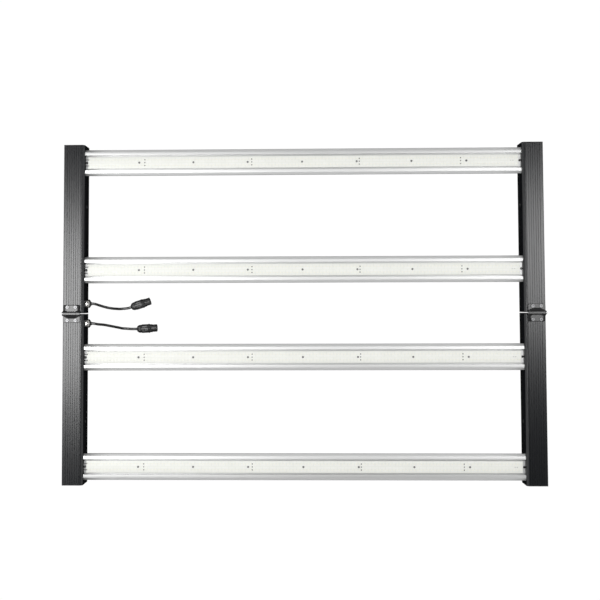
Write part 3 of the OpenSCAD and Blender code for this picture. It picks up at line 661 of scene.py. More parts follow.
def board_tracks(tree, shader, base):
    """Lets faint copper tracks show through the solder mask of a board."""
    tracks = node(
        tree, "ShaderNodeTexBrick", Vector=object_place(tree), Scale=1.0, Mortar_Size=0.8 * MM, Brick_Width=15.6 * MM,
        Row_Height=6.75 * MM, Color1=WHITE, Color2=(0.985, 0.99, 0.975, 1.0), Mortar=(0.95, 0.955, 0.935, 1.0),
    )
    return mixed_colour(tree, 1.0, base, tracks.outputs["Color"], "MULTIPLY")


# Each finish: its colour property, its range of roughness, the fineness of its grain along X, Y and Z,
# and what else it has
FINISHES = {
    "Black anodised": dict(colour="anodised", rough=(0.22, 0.30), grain=(700, 3, 700), bump=0.03, wear=0.35,
                           wear_colour=(0.05, 0.05, 0.052, 1.0), wear_radius=0.4 * MM),
    "Silver aluminium": dict(colour="aluminium", rough=(0.44, 0.54), grain=(3, 800, 800), metallic=1.0, spread=0.05,
                             bump=0.03, masks=bar_painted_shade),
    "White board": dict(colour="board", rough=(0.38, 0.52), grain=(60, 60, 60), spread=0.03, bump=0.02,
                        masks=board_tracks),
    "Chip body": dict(colour="chip", rough=(0.35, 0.50), grain=(1500, 1500, 1500), spread=0.04),
    "Phosphor": dict(colour="phosphor", rough=(0.25, 0.40), grain=(1800, 1800, 1800), spread=0.08),
    "Dark bead": dict(colour="bead", rough=(0.10, 0.20), grain=(1500, 1500, 1500)),
    "Solder": dict(colour="tin", rough=(0.30, 0.50), grain=(1500, 1500, 1500), metallic=1.0, spread=0.1, bump=0.08),
    "Zinc plate": dict(colour="zinc", rough=(0.12, 0.22), grain=(900, 900, 900), metallic=1.0, spread=0.06, bump=0.02),
    "Dull zinc": dict(colour="dull_zinc", rough=(0.30, 0.40), grain=(900, 900, 900), metallic=1.0, spread=0.06,
                      bump=0.02),
    "Black steel": dict(colour="black_steel", rough=(0.22, 0.32), grain=(1200, 1200, 1200), bump=0.05, wear=0.4,
                        wear_colour=(0.12, 0.12, 0.12, 1.0)),
    "Black plate": dict(colour="black_plate", rough=(0.20, 0.28), grain=(1200, 1200, 1200), metallic=1.0),
    "Nickel plate": dict(colour="nickel", rough=(0.18, 0.26), grain=(700, 700, 700), metallic=1.0, spread=0.05),
    "Black nylon": dict(colour="nylon", rough=(0.16, 0.26), grain=(2200, 2200, 2200), specular=0.95, bump=0.05,
                        wear=0.3, wear_colour=(0.05, 0.05, 0.05, 1.0)),
    "Matt nylon": dict(colour="nylon", rough=(0.45, 0.58), grain=(2200, 2200, 2200), specular=0.3, bump=0.08),
    "Black rubber": dict(colour="rubber", rough=(0.16, 0.24), grain=(1500, 1500, 1500), specular=0.75, bump=0.04),
    "Pale plastic": dict(colour="pale_plastic", rough=(0.40, 0.55), grain=(1200, 1200, 1200), spread=0.05, bump=0.05),
    "Contact brass": dict(colour="contact", rough=(0.15, 0.28), grain=(1200, 1200, 1200), metallic=1.0, spread=0.06),
}


def finish(name):
    """A finish by its name, made at its first use."""
    return bpy.data.materials.get(name) or new_finish(name, **FINISHES[name])


def new_finish(name, colour, rough, grain, metallic=0.0, specular=0.5, spread=0.12, bump=0.0, wear=0.0,
               wear_colour=WHITE, wear_radius=0.6 * MM, masks=None):
    """A procedural finish: grained colour and roughness, fine relief, worn edges and masks of its own, such as the
    painted shade of the bars.
    """
    colour = tuple(getattr(colours(), colour))
    material = bpy.data.materials.new(name)
    material.use_nodes = True
    material.diffuse_color = colour
    tree = material.node_tree
    shader = tree.nodes["Principled BSDF"]
    shader.inputs["Metallic"].default_value = metallic
    shader.inputs["Specular IOR Level"].default_value = specular
    fine = use_group(tree, kept_group("Surface grain", surface_grain), Stretch=grain, Detail=4.0, Contrast=1.6)
    base = mixed_colour(tree, fine, shade(colour, 1 - spread), shade(colour, 1 + spread))
    if wear:
        worn = use_group(tree, kept_group("Edge wear", edge_wear), Radius=wear_radius, Amount=wear, Breakup=260.0)
        base = mixed_colour(tree, worn, base, wear_colour)
    if masks:
        base = masks(tree, shader, base)
    tree.links.new(base, shader.inputs["Base Color"])
    tree.links.new(ranged(tree, fine, 0.0, 1.0, *rough), shader.inputs["Roughness"])
    if bump:
        relief = node(tree, "ShaderNodeBump", Strength=bump, Distance=0.2 * MM, Height=fine)
        tree.links.new(relief.outputs[0], shader.inputs["Normal"])
    return material


# Rails and caps


def bar_lines(half):
    """Y of the inner and the outer bar of one half."""
    return [box_middle(f"{half}_{bar}_bar")[1] for bar in BARS]


def hinge_screw_places(half, side):
    """(x, y) of the two hinge screws of one leaf."""
    s = sizes()
    x, y = box_middle(f"{half}_{side}_hinge_leaf")[0], HALVES[half] * s.hinge_screw_ahead
    return [(x - s.hinge_screw_side, y), (x + s.hinge_screw_side, y)]


def bevel_points(corner, top, way):
    """The bevelled inner corner of a rail, from its low to its high end. It leans to the side given by way."""
    s = sizes()
    wide, deep, soft = s.bevel_width, s.bevel_depth, 1.5 * s.edge_break
    run = soft / math.hypot(wide, deep)
    steps = [(0, deep + soft), (run * wide, deep - run * deep), (wide - run * wide, run * deep), (wide + soft, 0)]
    return [(corner + way * across, top - down) for across, down in steps]


def groove_points(centre, top):
    """One groove in the light side of a rail, from right to left, with broken edges and sloping walls."""
    s = sizes()
    half_width, edge, floor_share = s.groove_width / 2, s.edge_break, 0.55
    side = [
        (half_width + edge, top), (half_width, top - edge), (half_width * floor_share, top - s.groove_depth)
    ]
    return [(centre + x, z) for x, z in side] + [(centre - x, z) for x, z in reversed(side)]


def rail_outline(low, high, hand, grooves=True):
    """The outside of a rail, with the bevel of its inner corner and its grooves on the light side."""
    s = sizes()
    back, outer, top = s.rail_back_radius, s.rail_outer_radius, high.z
    outline = arc(low.x + back, low.z + back, back, 180, 270, 4) + arc(high.x - back, low.z + back, back, 270, 360, 4)
    outline += bevel_points(high.x, top, -1) if hand < 0 else arc(high.x - outer, top - outer, outer, 0, 90, 8)
    for i in range(s.groove_count if grooves else 0):
        outline += groove_points((low.x + high.x) / 2 + ((s.groove_count - 1) / 2 - i) * s.groove_pitch, top)
    outline += arc(low.x + outer, top - outer, outer, 90, 180, 8) if hand < 0 else bevel_points(low.x, top, 1)[::-1]
    return outline


def rail_hollow(low, high, gap=0.0):
    """The hollow of a rail, made smaller by a gap on all sides."""
    s = sizes()
    side = s.rail_wall + gap
    return rounded_box(
        low.x + side, low.z + side, high.x - side, high.z - s.rail_front_wall - gap, s.rail_back_radius / 2, s.rail_wall
    )


class GROWLIGHT_OT_rails(bpy.types.Operator):
    """Builds the four grooved rail halves with their holes"""

    bl_idname = "growlight.rails"
    bl_label = "Rails"

    def execute(self, context):
        for half in HALVES:
            for side, hand in SIDES.items():
                name = f"{half}_{side}_rail"
                low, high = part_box(name)
                shape = extruded([rail_outline(low, high, hand), rail_hollow(low, high)], "Y", low.y, high.y)
                shape = combined(shape, joined(self.holes(half, side)))
                piece(name + "_skin", shape, "Black anodised", half, "black_anodised", name)
        return {"FINISHED"}

    def holes(self, half, side):
        """Rods that cut the holes in the inner wall and the hinge screw holes of a rail."""
        s = sizes()
        low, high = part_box(f"{half}_{side}_rail")
        face = high.x if side == "left" else low.x
        reach, past, screw_hole = 6 * MM, 2 * MM, 2.05 * MM
        # What sits in the wall, the radius of its hole, and the offset from the middle of a bar where it has one
        wall = [("bracket_rivets", 1.65 * MM, s.rivet_offset), ("hanging_inserts", 3.55 * MM, None)]
        if side == "left":
            wall += [("gland_body", 8.15 * MM, None), ("lead_grommets", 1.65 * MM, s.lead_offset)]
        cuts = []
        for group, radius, offset in wall:
            _, y, z = box_middle(f"{half}_{group}")
            lines = [bar + k * offset for bar in bar_lines(half) for k in (-1, 1)] if offset else [y]
            cuts += [rod((face - reach, line, z), (face + reach, line, z), radius) for line in lines]
        for x, y in hinge_screw_places(half, side):
            cuts.append(rod((x, y, high.z - reach), (x, y, high.z + past), screw_hole))
        return cuts


class GROWLIGHT_OT_rail_caps(bpy.types.Operator):
    """Builds the moulded caps in the ends of the rails"""

    bl_idname = "growlight.rail_caps"
    bl_label = "Rail caps"

    def execute(self, context):
        play, wall, deep, soft = 0.15 * MM, 1.5 * MM, 7 * MM, 0.45 * MM
        for half in HALVES:
            cap_low, cap_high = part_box(half + "_end_caps")
            shapes = []
            for side, hand in SIDES.items():
                low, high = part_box(f"{half}_{side}_rail")
                plate = rail_outline(low, high, hand, grooves=False)
                collar = [rail_hollow(low, high, play), rail_hollow(low, high, play + wall)]
                for outer, seat, inward in ((cap_low.y, low.y, 1), (cap_high.y, high.y, -1)):
                    shapes.append(softened(extruded([plate], "Y", *sorted((outer, seat))), soft))
                    shapes.append(extruded(collar, "Y", *sorted((seat, seat + inward * deep))))
            piece(half + "_rail_caps", joined(shapes), "Matt nylon", half, "black_nylon", half + "_end_caps")
        return {"FINISHED"}


# Bars, boards and chips


def bar_outline(middle, wide, z0, z1):
    """The section of a light bar: lips, sloping shoulders, leaning skirts, board recess and cooling fins."""
    s = sizes()
    edge, root, soft = s.edge_break, 0.6 * MM, 0.5 * MM
    top = z1 - s.recess_depth
    under = top - s.floor_thickness
    recess, lip, foot = s.recess_width / 2, s.lip_width / 2, s.foot_width / 2
    edge_top = z1 - s.shoulder_drop
    edge_low = edge_top - s.blunt_edge
    slope = s.shoulder_drop / (wide - soft - lip)
    lean = (wide - foot) / (edge_low - z0)
    inner, skirt_top = foot - s.skirt, foot + lean * (under - z0) - s.skirt
    seat, gutter, blunt = s.seat_width / 2, top - s.gutter_depth, wide - 0.02 * MM
    # One side of the section, from the seat over the lip and the shoulder to the skirt and the fins.
    # The plain lengths are the small steps that round its edges
    side = [
        (seat - edge, top), (seat, top - edge), (seat, gutter), (recess, gutter), (recess, z1 - edge),
        (recess + edge, z1), (lip - soft, z1), (lip + 0.1 * MM, z1 - 0.12 * MM), (lip + root, z1 - root * slope),
        (wide - 1.2 * MM, edge_top + 0.7 * MM * slope), (wide - 0.6 * MM, edge_top - 0.05 * MM),
        (wide - 0.3 * MM, edge_top - 0.55 * MM), (blunt, edge_low + soft), (blunt, edge_low - 0.2 * MM),
        (wide - lean * 1.2 * MM, edge_low - 1.2 * MM), (foot + lean * edge, z0 + edge), (foot - edge, z0),
        (inner + edge, z0), (inner, z0 + edge), (skirt_top - lean * root, under - root), (skirt_top - root, under),
    ]
    for i in reversed(range(s.fin_count)):
        a = s.channel_width / 2 + i * s.fin_pitch
        b = a + s.fin
        side += [
            (b + root, under), (b, under - root), (b, z0 + edge), (b - edge, z0), (a + edge, z0), (a, z0 + edge),
            (a, under - root), (a - root, under),
        ]
    outline = side + [(-across, up) for across, up in reversed(side)]
    return [(middle + across, up) for across, up in outline]


def board_screw_columns():
    """X of the seven board screws of a bar."""
    fields = 8
    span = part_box("front_right_rail")[0].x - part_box("front_left_rail")[1].x
    return [-span / 2 + i * span / fields for i in range(1, fields)]


def bar_screw_columns():
    """X of the two screws at the ends of a bar."""
    low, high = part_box("front_bar_screws")
    return [low.x + BAR_SCREW_HEAD, high.x - BAR_SCREW_HEAD]


def bead_columns():
    """X of the four columns of dark beads on a board, each between two chips."""
    low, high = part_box("front_inner_board")
    pitch = (high.x - low.x) / sizes().chip_columns
    return [low.x + pitch * k for k in (17, 49, 81, 111)]


def upright_holes(columns, y, low, high, radius):
    """Rods that cut a row of upright holes."""
    return [rod((x, y, low), (x, y, high), radius, 20) for x in columns]


class GROWLIGHT_OT_bars(bpy.types.Operator):
    """Builds the four finned light bars with their screw holes"""

    bl_idname = "growlight.bars"
    bl_label = "Light bars"

    def execute(self, context):
        cut_height = 20 * MM
        for half in HALVES:
            for bar in BARS:
                name = f"{half}_{bar}_bar"
                low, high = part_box(name)
                y = (low.y + high.y) / 2
                shape = extruded([bar_outline(y, (high.y - low.y) / 2, low.z, high.z)], "X", low.x, high.x)
                cuts = upright_holes(board_screw_columns(), y, low.z + cut_height, high.z, 1.25 * MM)
                cuts += upright_holes(bar_screw_columns(), y, low.z + cut_height, high.z, 1.65 * MM)
                shape = combined(shape, joined(cuts))
                piece(name + "_skin", shape, "Silver aluminium", half, "silver_aluminium", name, angle=28)
        return {"FINISHED"}


# Solder pads for a lead and for a pair at the right end of a board: half length, half width and height in millimetres
LEAD_PAD = (2.6, 1.7, 0.55)
PAIR_PAD = (1.9, 0.9, 0.3)


def solder_pad(place, pad):
    """A low oval blob of solder on a board."""
    scale = Matrix.Diagonal((*(value * MM for value in pad), 1.0))
    dome = [(0, 0), (1, 0), (0.97, 0.35), (0.8, 0.72), (0.45, 0.95), (0, 1)]
    return lathe(dome, Matrix.Translation(place) @ scale, 20)


class GROWLIGHT_OT_boards(bpy.types.Operator):
    """Builds the white boards and the solder pads on them"""

    bl_idname = "growlight.boards"
    bl_label = "Boards"

    def execute(self, context):
        soft, past, hole = 0.2 * MM, 2 * MM, 1.35 * MM
        lead_pad_in, pair_in, pair_half_gap = 3.2 * MM, 15 * MM, 2.4 * MM
        for half in HALVES:
            pads = []
            for bar in BARS:
                name = f"{half}_{bar}_board"
                low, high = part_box(name)
                y = (low.y + high.y) / 2
                outline = rounded_box(low.y, low.z, high.y, high.z, soft, soft, steps=2)
                cuts = upright_holes(board_screw_columns(), y, low.z - past, high.z + past, hole)
                shape = combined(extruded([outline], "X", low.x, high.x), joined(cuts))
                piece(name + "_skin", shape, "White board", half, "white_board", name)
                for k in (-1, 1):
                    lead_y, pair_x = y + k * sizes().lead_offset, high.x - pair_in + k * pair_half_gap
                    pads.append(solder_pad((low.x + lead_pad_in, lead_y, high.z), LEAD_PAD))
                    pads.append(solder_pad((pair_x, y, high.z), PAIR_PAD))
            piece(half + "_solder_pads", joined(pads), "Solder", half, "zinc_steel")
        return {"FINISHED"}


class GROWLIGHT_OT_light_chips(bpy.types.Operator):
    """Grows the rows of light chips, their phosphor windows and the dark beads between them"""

    bl_idname = "growlight.light_chips"
    bl_label = "Light chips"

    def execute(self, context):
        s = sizes()
        body = {"Sides": 4, "Radius": s.chip_side / math.sqrt(2), "Height": s.chip_height, "Turn": math.pi / 4}
        window = {"Sides": 12, "Radius": s.chip_window, "Height": s.window_height, "Turn": 0.0}
        r, h = s.bead_radius, s.bead_height
        dome = [(0, 0), (r, 0), (r, h * 0.4), (r * 0.85, h * 0.75), (r * 0.5, h * 0.95), (0, h)]
        for half in HALVES:
            boards = [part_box(f"{half}_{bar}_board") for bar in BARS]
            middles = [((low.x + high.x) / 2, (low.y + high.y) / 2, high.z) for low, high in boards]
            bodies = self.rows(half + "_chip_bodies", middles, s.chip_height / 2, body, "Chip body")
            finished(bodies, "Chip body", half, [half + "_led_chips"])
            # A quarter of a window is sunk in its chip
            window_lift = s.chip_height + s.window_height / 4
            windows = self.rows(half + "_chip_windows", middles, window_lift, window, "Phosphor")
            finished(windows, "Phosphor", half, [])
            beads = [
                (x, y + k * s.chip_row_gap / 2, z) for _, y, z in middles for x in bead_columns() for k in (-1, 0, 1)
            ]
            fasteners(half + "_dark_beads", beads, lathe(dome, UPRIGHT, 16), "Dark bead", half, "black_nylon")
        return {"FINISHED"}

    def rows(self, name, middles, lift, prism, look):
        """Rows of prisms on the boards of one half, with their middles lifted above the boards."""
        s = sizes()
        low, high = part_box("front_inner_board")
        grid = {"Columns": s.chip_columns, "Pitch": (high.x - low.x) / s.chip_columns, "Row gap": s.chip_row_gap}
        raised = [(x, y, z + lift) for x, y, z in middles]
        inputs = {**grid, **prism, "Finish": finish(look)}
        return grown(name, raised, kept_group("Chip rows", chip_tree), inputs)


# Screws and hinges

# Crowns of screw heads as shares of the head's radius and height
ROUND_HEAD = [(1, 0.45), (0.93, 0.68), (0.78, 0.87), (0.5, 0.97), (0, 1)]
FLAT_HEAD = [(1, 0.6), (0.995, 0.9), (0.95, 1), (0, 1)]
BAR_SCREW_HEAD = 2.75 * MM


def cross_screw(shank, reach, head, height, crown):
    """A screw with a cross recess in its head, on Z = 0, with its shank below."""
    profile = [(0, -reach), (shank, -reach), (shank, 0), (head, 0)] + [(head * r, height * h) for r, h in crown]
    shape = lathe(profile, UPRIGHT, 32)
    depth = min(sizes().screw_recess, height * 0.6)
    arm_length, arm_width = head * 1.35, head * 0.45
    # The bottom of the recess is shorter and much narrower than its mouth
    bottom = (0.6, 0.12)
    for turn in (0, math.pi / 2):
        arm = bmesh.new()
        bmesh.ops.create_cube(arm, size=1)
        for v in arm.verts:
            along, across = bottom if v.co.z < 0 else (1, 1)
            v.co = (v.co.x * arm_length * along, v.co.y * arm_width * across, height + v.co.z * depth * 2)
        bmesh.ops.rotate(arm, verts=arm.verts, cent=(0, 0, 0), matrix=Matrix.Rotation(turn, 3, "Z"))
        shape = combined(shape, arm)
    return shape


class GROWLIGHT_OT_screws(bpy.types.Operator):
    """Grows the board screws, bar screws and hinge screws with their cross recesses"""

    bl_idname = "growlight.screws"
    bl_label = "Screws"

    def execute(self, context):
        for seed, half in enumerate(HALVES, 1):
            board_low, board_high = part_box(half + "_inner_board")
            leaf_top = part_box(half + "_left_rail")[1].z + sizes().leaf_thickness
            on_boards = [(x, y, board_high.z) for y in bar_lines(half) for x in board_screw_columns()]
            on_bars = [(x, y, board_low.z) for y in bar_lines(half) for x in bar_screw_columns()]
            on_leaves = [(x, y, leaf_top) for side in SIDES for x, y in hinge_screw_places(half, side)]
            board_screw = cross_screw(shank=1.2 * MM, reach=4.8 * MM, head=2.3 * MM, height=1.5 * MM, crown=ROUND_HEAD)
            bar_screw = cross_screw(
                shank=1.5 * MM, reach=6.75 * MM, head=BAR_SCREW_HEAD, height=1.8 * MM, crown=ROUND_HEAD
            )
            hinge_screw = cross_screw(shank=2 * MM, reach=7.5 * MM, head=3.8 * MM, height=2.2 * MM, crown=FLAT_HEAD)
            fasteners(half + "_board_screw_set", on_boards, board_screw, "Dull zinc", half, "zinc_steel",
                      half + "_board_screws", turn=math.pi, seed=seed)
            fasteners(half + "_bar_screw_set", on_bars, bar_screw, "Black steel", half, "black_steel",
                      half + "_bar_screws", turn=math.pi, seed=seed + 10)
            fasteners(half + "_hinge_screw_set", on_leaves, hinge_screw, "Black plate", half, "black_steel",
                      half + "_hinge_screws", turn=math.pi, seed=seed + 20)
        return {"FINISHED"}


class GROWLIGHT_OT_hinges(bpy.types.Operator):
    """Builds the hinge leaves with their knuckles, and the hinge pins"""

    bl_idname = "growlight.hinges"
    bl_label = "Hinges"

    def execute(self, context):
        for half in HALVES:
            for side in SIDES:
                name = f"{half}_{side}_hinge_leaf"
                piece(name + "_skin", self.leaf(half, side), "Black steel", half, "black_steel", name, angle=18)
        for side, hand in SIDES.items():
            name = side + "_hinge_pin"
            piece(name + "_skin", self.pin(name, hand), "Zinc plate", "front", "zinc_steel", name)
        return {"FINISHED"}

    def pin(self, name, hand):
        """A headed pin whose head is on the outer side of the light."""
        low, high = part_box(name)
        _, y, z = box_middle(name)
        reach, r = high.x - low.x, sizes().pin_radius
        head, cap, soft = 3.6 * MM, 1.7 * MM, 0.4 * MM
        profile = [
            (0, 0), (head * 0.5, 0), (head * 0.85, cap * 0.16), (head, cap * 0.5), (head, cap), (r, cap),
            (r, reach - soft), (r - soft, reach), (0, reach),
        ]
        return lathe(profile, axis_place((low.x if hand < 0 else high.x, y, z), (-hand, 0, 0)), 40)

    def leaf(self, half, side):
        """One leaf: a plate with sloping edges, its knuckles with their ramps, the pin bore and the screw holes."""
        s, way = sizes(), HALVES[half]
        low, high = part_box(f"{half}_{side}_hinge_leaf")
        pin_z, base = box_middle(side + "_hinge_pin")[2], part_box(f"{half}_{side}_rail")[1].z
        middle, wide = (low.x + high.x) / 2, (high.x - low.x) / 2
        barrel, thick = s.knuckle_radius, s.leaf_thickness
        lift, half_mid, root = 0.3 * MM, 11 * MM, s.knuckle_radius + 0.6 * MM
        # A hair's breadth keeps faces that would lie in one plane apart, so that shapes join cleanly
        hair = 0.02 * MM
        tip = max(abs(low.y), abs(high.y))

        def across(points):
            """Points given from the fold line outwards, on this leaf's side of it."""
            return [(way * y, z) for y, z in points]

        def plate(rim, side_slope, tip_slope):
            """The plate, with a low rim and slopes up to its top at the sides and the tip."""
            inner, foot_corner, top_corner = 0.5 * MM, 4 * MM, 3 * MM
            foot = rounded_box(low.x, root, high.x, tip, inner, foot_corner, steps=8)
            top = rounded_box(
                low.x + side_slope, root + hair, high.x - side_slope, tip - tip_slope, inner, top_corner, steps=8
            )
            foot, top = ([(x, way * y) for x, y in outline] for outline in (foot, top))
            return stacked((foot, base), (foot, base + rim), (top, base + thick))

        def knuckle(start, end, reach):
            """A knuckle with a flat on its top and a ramp down to the plate."""
            # Degrees from the top to the edge of the flat, and to where the barrel ends below
            flat, end_turn, soft, sharp = 23, 262, 0.25 * MM, 75
            section = [(0, base + lift), (reach, base + lift), (reach, base + thick), (barrel * 0.98, pin_z - lift)]
            section += arc(0, pin_z, barrel, 0, 90 - flat, 10) + arc(0, pin_z, barrel, 90 + flat, end_turn, 26)
            return softened(extruded([across(section)], "X", start, end), soft, sharp)

        def boss():
            """The ramp of the middle knuckle, which narrows to a blunt point on the plate."""
            reach, point = 11.2 * MM, 7 * MM
            corners = [(half_mid - hair, 0), (half_mid - hair, root), (wide - hair, root), (point, reach)]
            plan = [(middle + x, way * y) for x, y in corners]
            plan += [(2 * middle - x, y) for x, y in reversed(plan)]
            block = stacked((plan, base - lift), (plan, pin_z + barrel))
            section = [(0, base + lift), (reach, base + lift), (reach, base + thick), (barrel * 0.97, pin_z - lift),
                       (0, pin_z)]
            ramp = extruded([across(section)], "X", low.x - lift, high.x + lift)
            return combined(ramp, block, "INTERSECT")

        if self.has_middle_knuckle(half, side):
            spans = [(middle - half_mid, middle + half_mid)]
            pad = plate(rim=thick - 0.8 * MM, side_slope=0.9 * MM, tip_slope=0.9 * MM)
            shape = combined(pad, boss(), "UNION")
        else:
            spans = [(low.x + hair, middle - half_mid - lift), (middle + half_mid + lift, high.x - hair)]
            shape = plate(rim=0.9 * MM, side_slope=6 * MM, tip_slope=1.5 * MM)
        for start, end in spans:
            shape = combined(shape, knuckle(start, end, barrel + 2 * MM), "UNION")
        past, below, play, screw_hole = 10 * MM, 2 * MM, 0.05 * MM, 2.15 * MM
        cuts = [rod((low.x - past, 0, pin_z), (high.x + past, 0, pin_z), s.pin_radius + play, 40)]
        for x, y in hinge_screw_places(half, side):
            cuts.append(rod((x, y, base - below), (x, y, base + past), screw_hole))
        return combined(shape, joined(cuts))

    def has_middle_knuckle(self, half, side):
        """True for the leaf that carries the middle knuckle: near the fold line it stays close to the middle."""
        name, near, most = f"{half}_{side}_hinge_leaf", 2 * MM, 12 * MM
        middle = box_middle(name)[0]
        near_fold = [v.co.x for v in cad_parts[name].data.vertices if abs(v.co.y) < near]
        return max(abs(x - middle) for x in near_fold) < most


class GROWLIGHT_OT_hanging_inserts(bpy.types.Operator):
    """Builds the threaded hanging inserts in the inner faces of the rails"""

    bl_idname = "growlight.hanging_inserts"
    bl_label = "Hanging inserts"

    def execute(self, context):
        outer, flange, bore, mouth, deep = 3.5, 4.5, 2.5, 3, 11
        proud, soft, groove, turns = 0.8, 0.3, 0.35, 12
        step = (deep + soft) / turns
        profile = [
            (outer, -deep), (outer, 0), (flange, 0), (flange, proud - soft), (flange - soft, proud), (mouth, proud)
        ]
        for i in range(turns):
            profile += [(bore + groove, soft - i * step), (bore, soft - (i + 0.5) * step)]
        profile = in_metres(*profile, (bore + groove, -deep))
        for half in HALVES:
            name = half + "_hanging_inserts"
            _, y, z = box_middle(name)
            shapes = []
            for side, hand in SIDES.items():
                low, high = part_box(f"{half}_{side}_rail")
                place = axis_place((high.x if hand < 0 else low.x, y, z), (-hand, 0, 0))
                shapes.append(lathe(profile, place, 40, closed=True))
            piece(half + "_hanging_insert_set", joined(shapes), "Black steel", half, "black_steel", name)
        return {"FINISHED"}


# Wiring, glands, plugs and cables


def cable_points(half):
    """Points of a free cable, from the mouth of its gland."""
    _, y, z = box_middle(half + "_gland_seal")
    mouth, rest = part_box(half + "_gland_seal")[1].x, sizes().plug_radius
    return [(mouth + along * MM, y + aside * MM, rest + (z - rest) * share) for along, aside, share in CABLE_RUNS[half]]


class GROWLIGHT_OT_wiring(bpy.types.Operator):
    """Builds the leads from the boards, the jacketed tail in the rail and the grommets"""

    bl_idname = "growlight.wiring"
    bl_label = "Wiring"

    def execute(self, context):
        s = sizes()
        for half, way in HALVES.items():
            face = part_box(half + "_left_rail")[1].x
            lead_z = box_middle(half + "_lead_grommets")[2]
            leads, grommets = [], []
            for row, bar in enumerate(sorted(bar_lines(half), key=abs)):
                for hand in (1, -1):
                    y = bar + way * hand * s.lead_offset
                    route = self.lead_route(half, y, hand, 1 - 2 * row)
                    leads.append(tube(smooth_route(route, 4), s.lead_radius, 12))
                    grommets.append(self.grommet((face, y, lead_z)))
            tail = tube(self.tail_route(half), s.cable_radius, 20)
            wires = joined([*leads, tail])
            piece(half + "_wiring", wires, "Black rubber", half, "black_rubber", half + "_wiring_loom")
            rings = joined(grommets)
            piece(half + "_grommets", rings, "Black rubber", half, "black_rubber", half + "_lead_grommets")
        return {"FINISHED"}

    def lead_route(self, half, y, aside, above):
        """A lead from its pad on a board, through the rail wall and along the rail to its corner of the splice."""
        s, way = sizes(), HALVES[half]
        face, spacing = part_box(half + "_left_rail")[1].x, 4 * MM
        pad_end, bend_start, clear = 8.5 * MM, 6 * MM, 1.5 * MM
        inside = face - s.rail_wall
        over_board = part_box(half + "_inner_board")[1].z + s.lead_radius
        lead_z = box_middle(half + "_lead_grommets")[2]
        x = box_middle(half + "_splice_block")[0] + aside * spacing
        z = box_middle(half + "_gland_body")[2] + above * spacing
        far = max((v.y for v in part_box(half + "_splice_block")), key=abs)
        route = [
            (face + pad_end, y, over_board), (face + bend_start, y, over_board), (face + clear, y, lead_z),
            (inside - clear, y, lead_z),
        ]
        # Shares of the way across the rail and of the drop that are left after some millimetres along the rail
        bend = [(0.72, 1.5, 0.9), (0.42, 5, 0.58), (0.16, 10, 0.22), (0.02, 16, 0.03), (0, 22, 0)]
        route += [(x + (inside - x) * p, y - way * q * MM, z + (lead_z - z) * r) for p, q, r in bend]
        return [*route, (x, far, z)]

    def tail_route(self, half):
        """The jacketed tail from the splice, round one bend and out through the gland."""
        way, turn = HALVES[half], 24 * MM
        _, gland_y, z = box_middle(half + "_gland_body")
        x = box_middle(half + "_splice_block")[0]
        near = min((v.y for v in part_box(half + "_splice_block")), key=abs)
        bend = arc(x + turn, abs(gland_y) + turn, turn, 180, 270, 12)
        points = [(x, near, z), *((p, way * q, z) for p, q in bend), cable_points(half)[0]]
        return [Vector(p) for p in points]

    def grommet(self, place):
        """A rubber grommet through the rail wall, with a rounded flange on either side."""
        wall, bore, neck, flange, thick, soft = 2, 0.95, 1.6, 2.2, 0.8, 0.25
        profile = in_metres(
            (bore, -wall - thick), (flange - soft, -wall - thick), (flange, -wall - thick + soft), (flange, -wall),
            (neck, -wall), (neck, 0), (flange, 0), (flange, thick - soft), (flange - soft, thick), (bore, thick),
        )
        return lathe(profile, axis_place(place, X_AXIS), 24, closed=True)


GLAND_FLANGE = 4 * MM
# Degrees by which the screwing left the flange and the nut turned
FLANGE_TURN, NUT_TURN = 2, -16


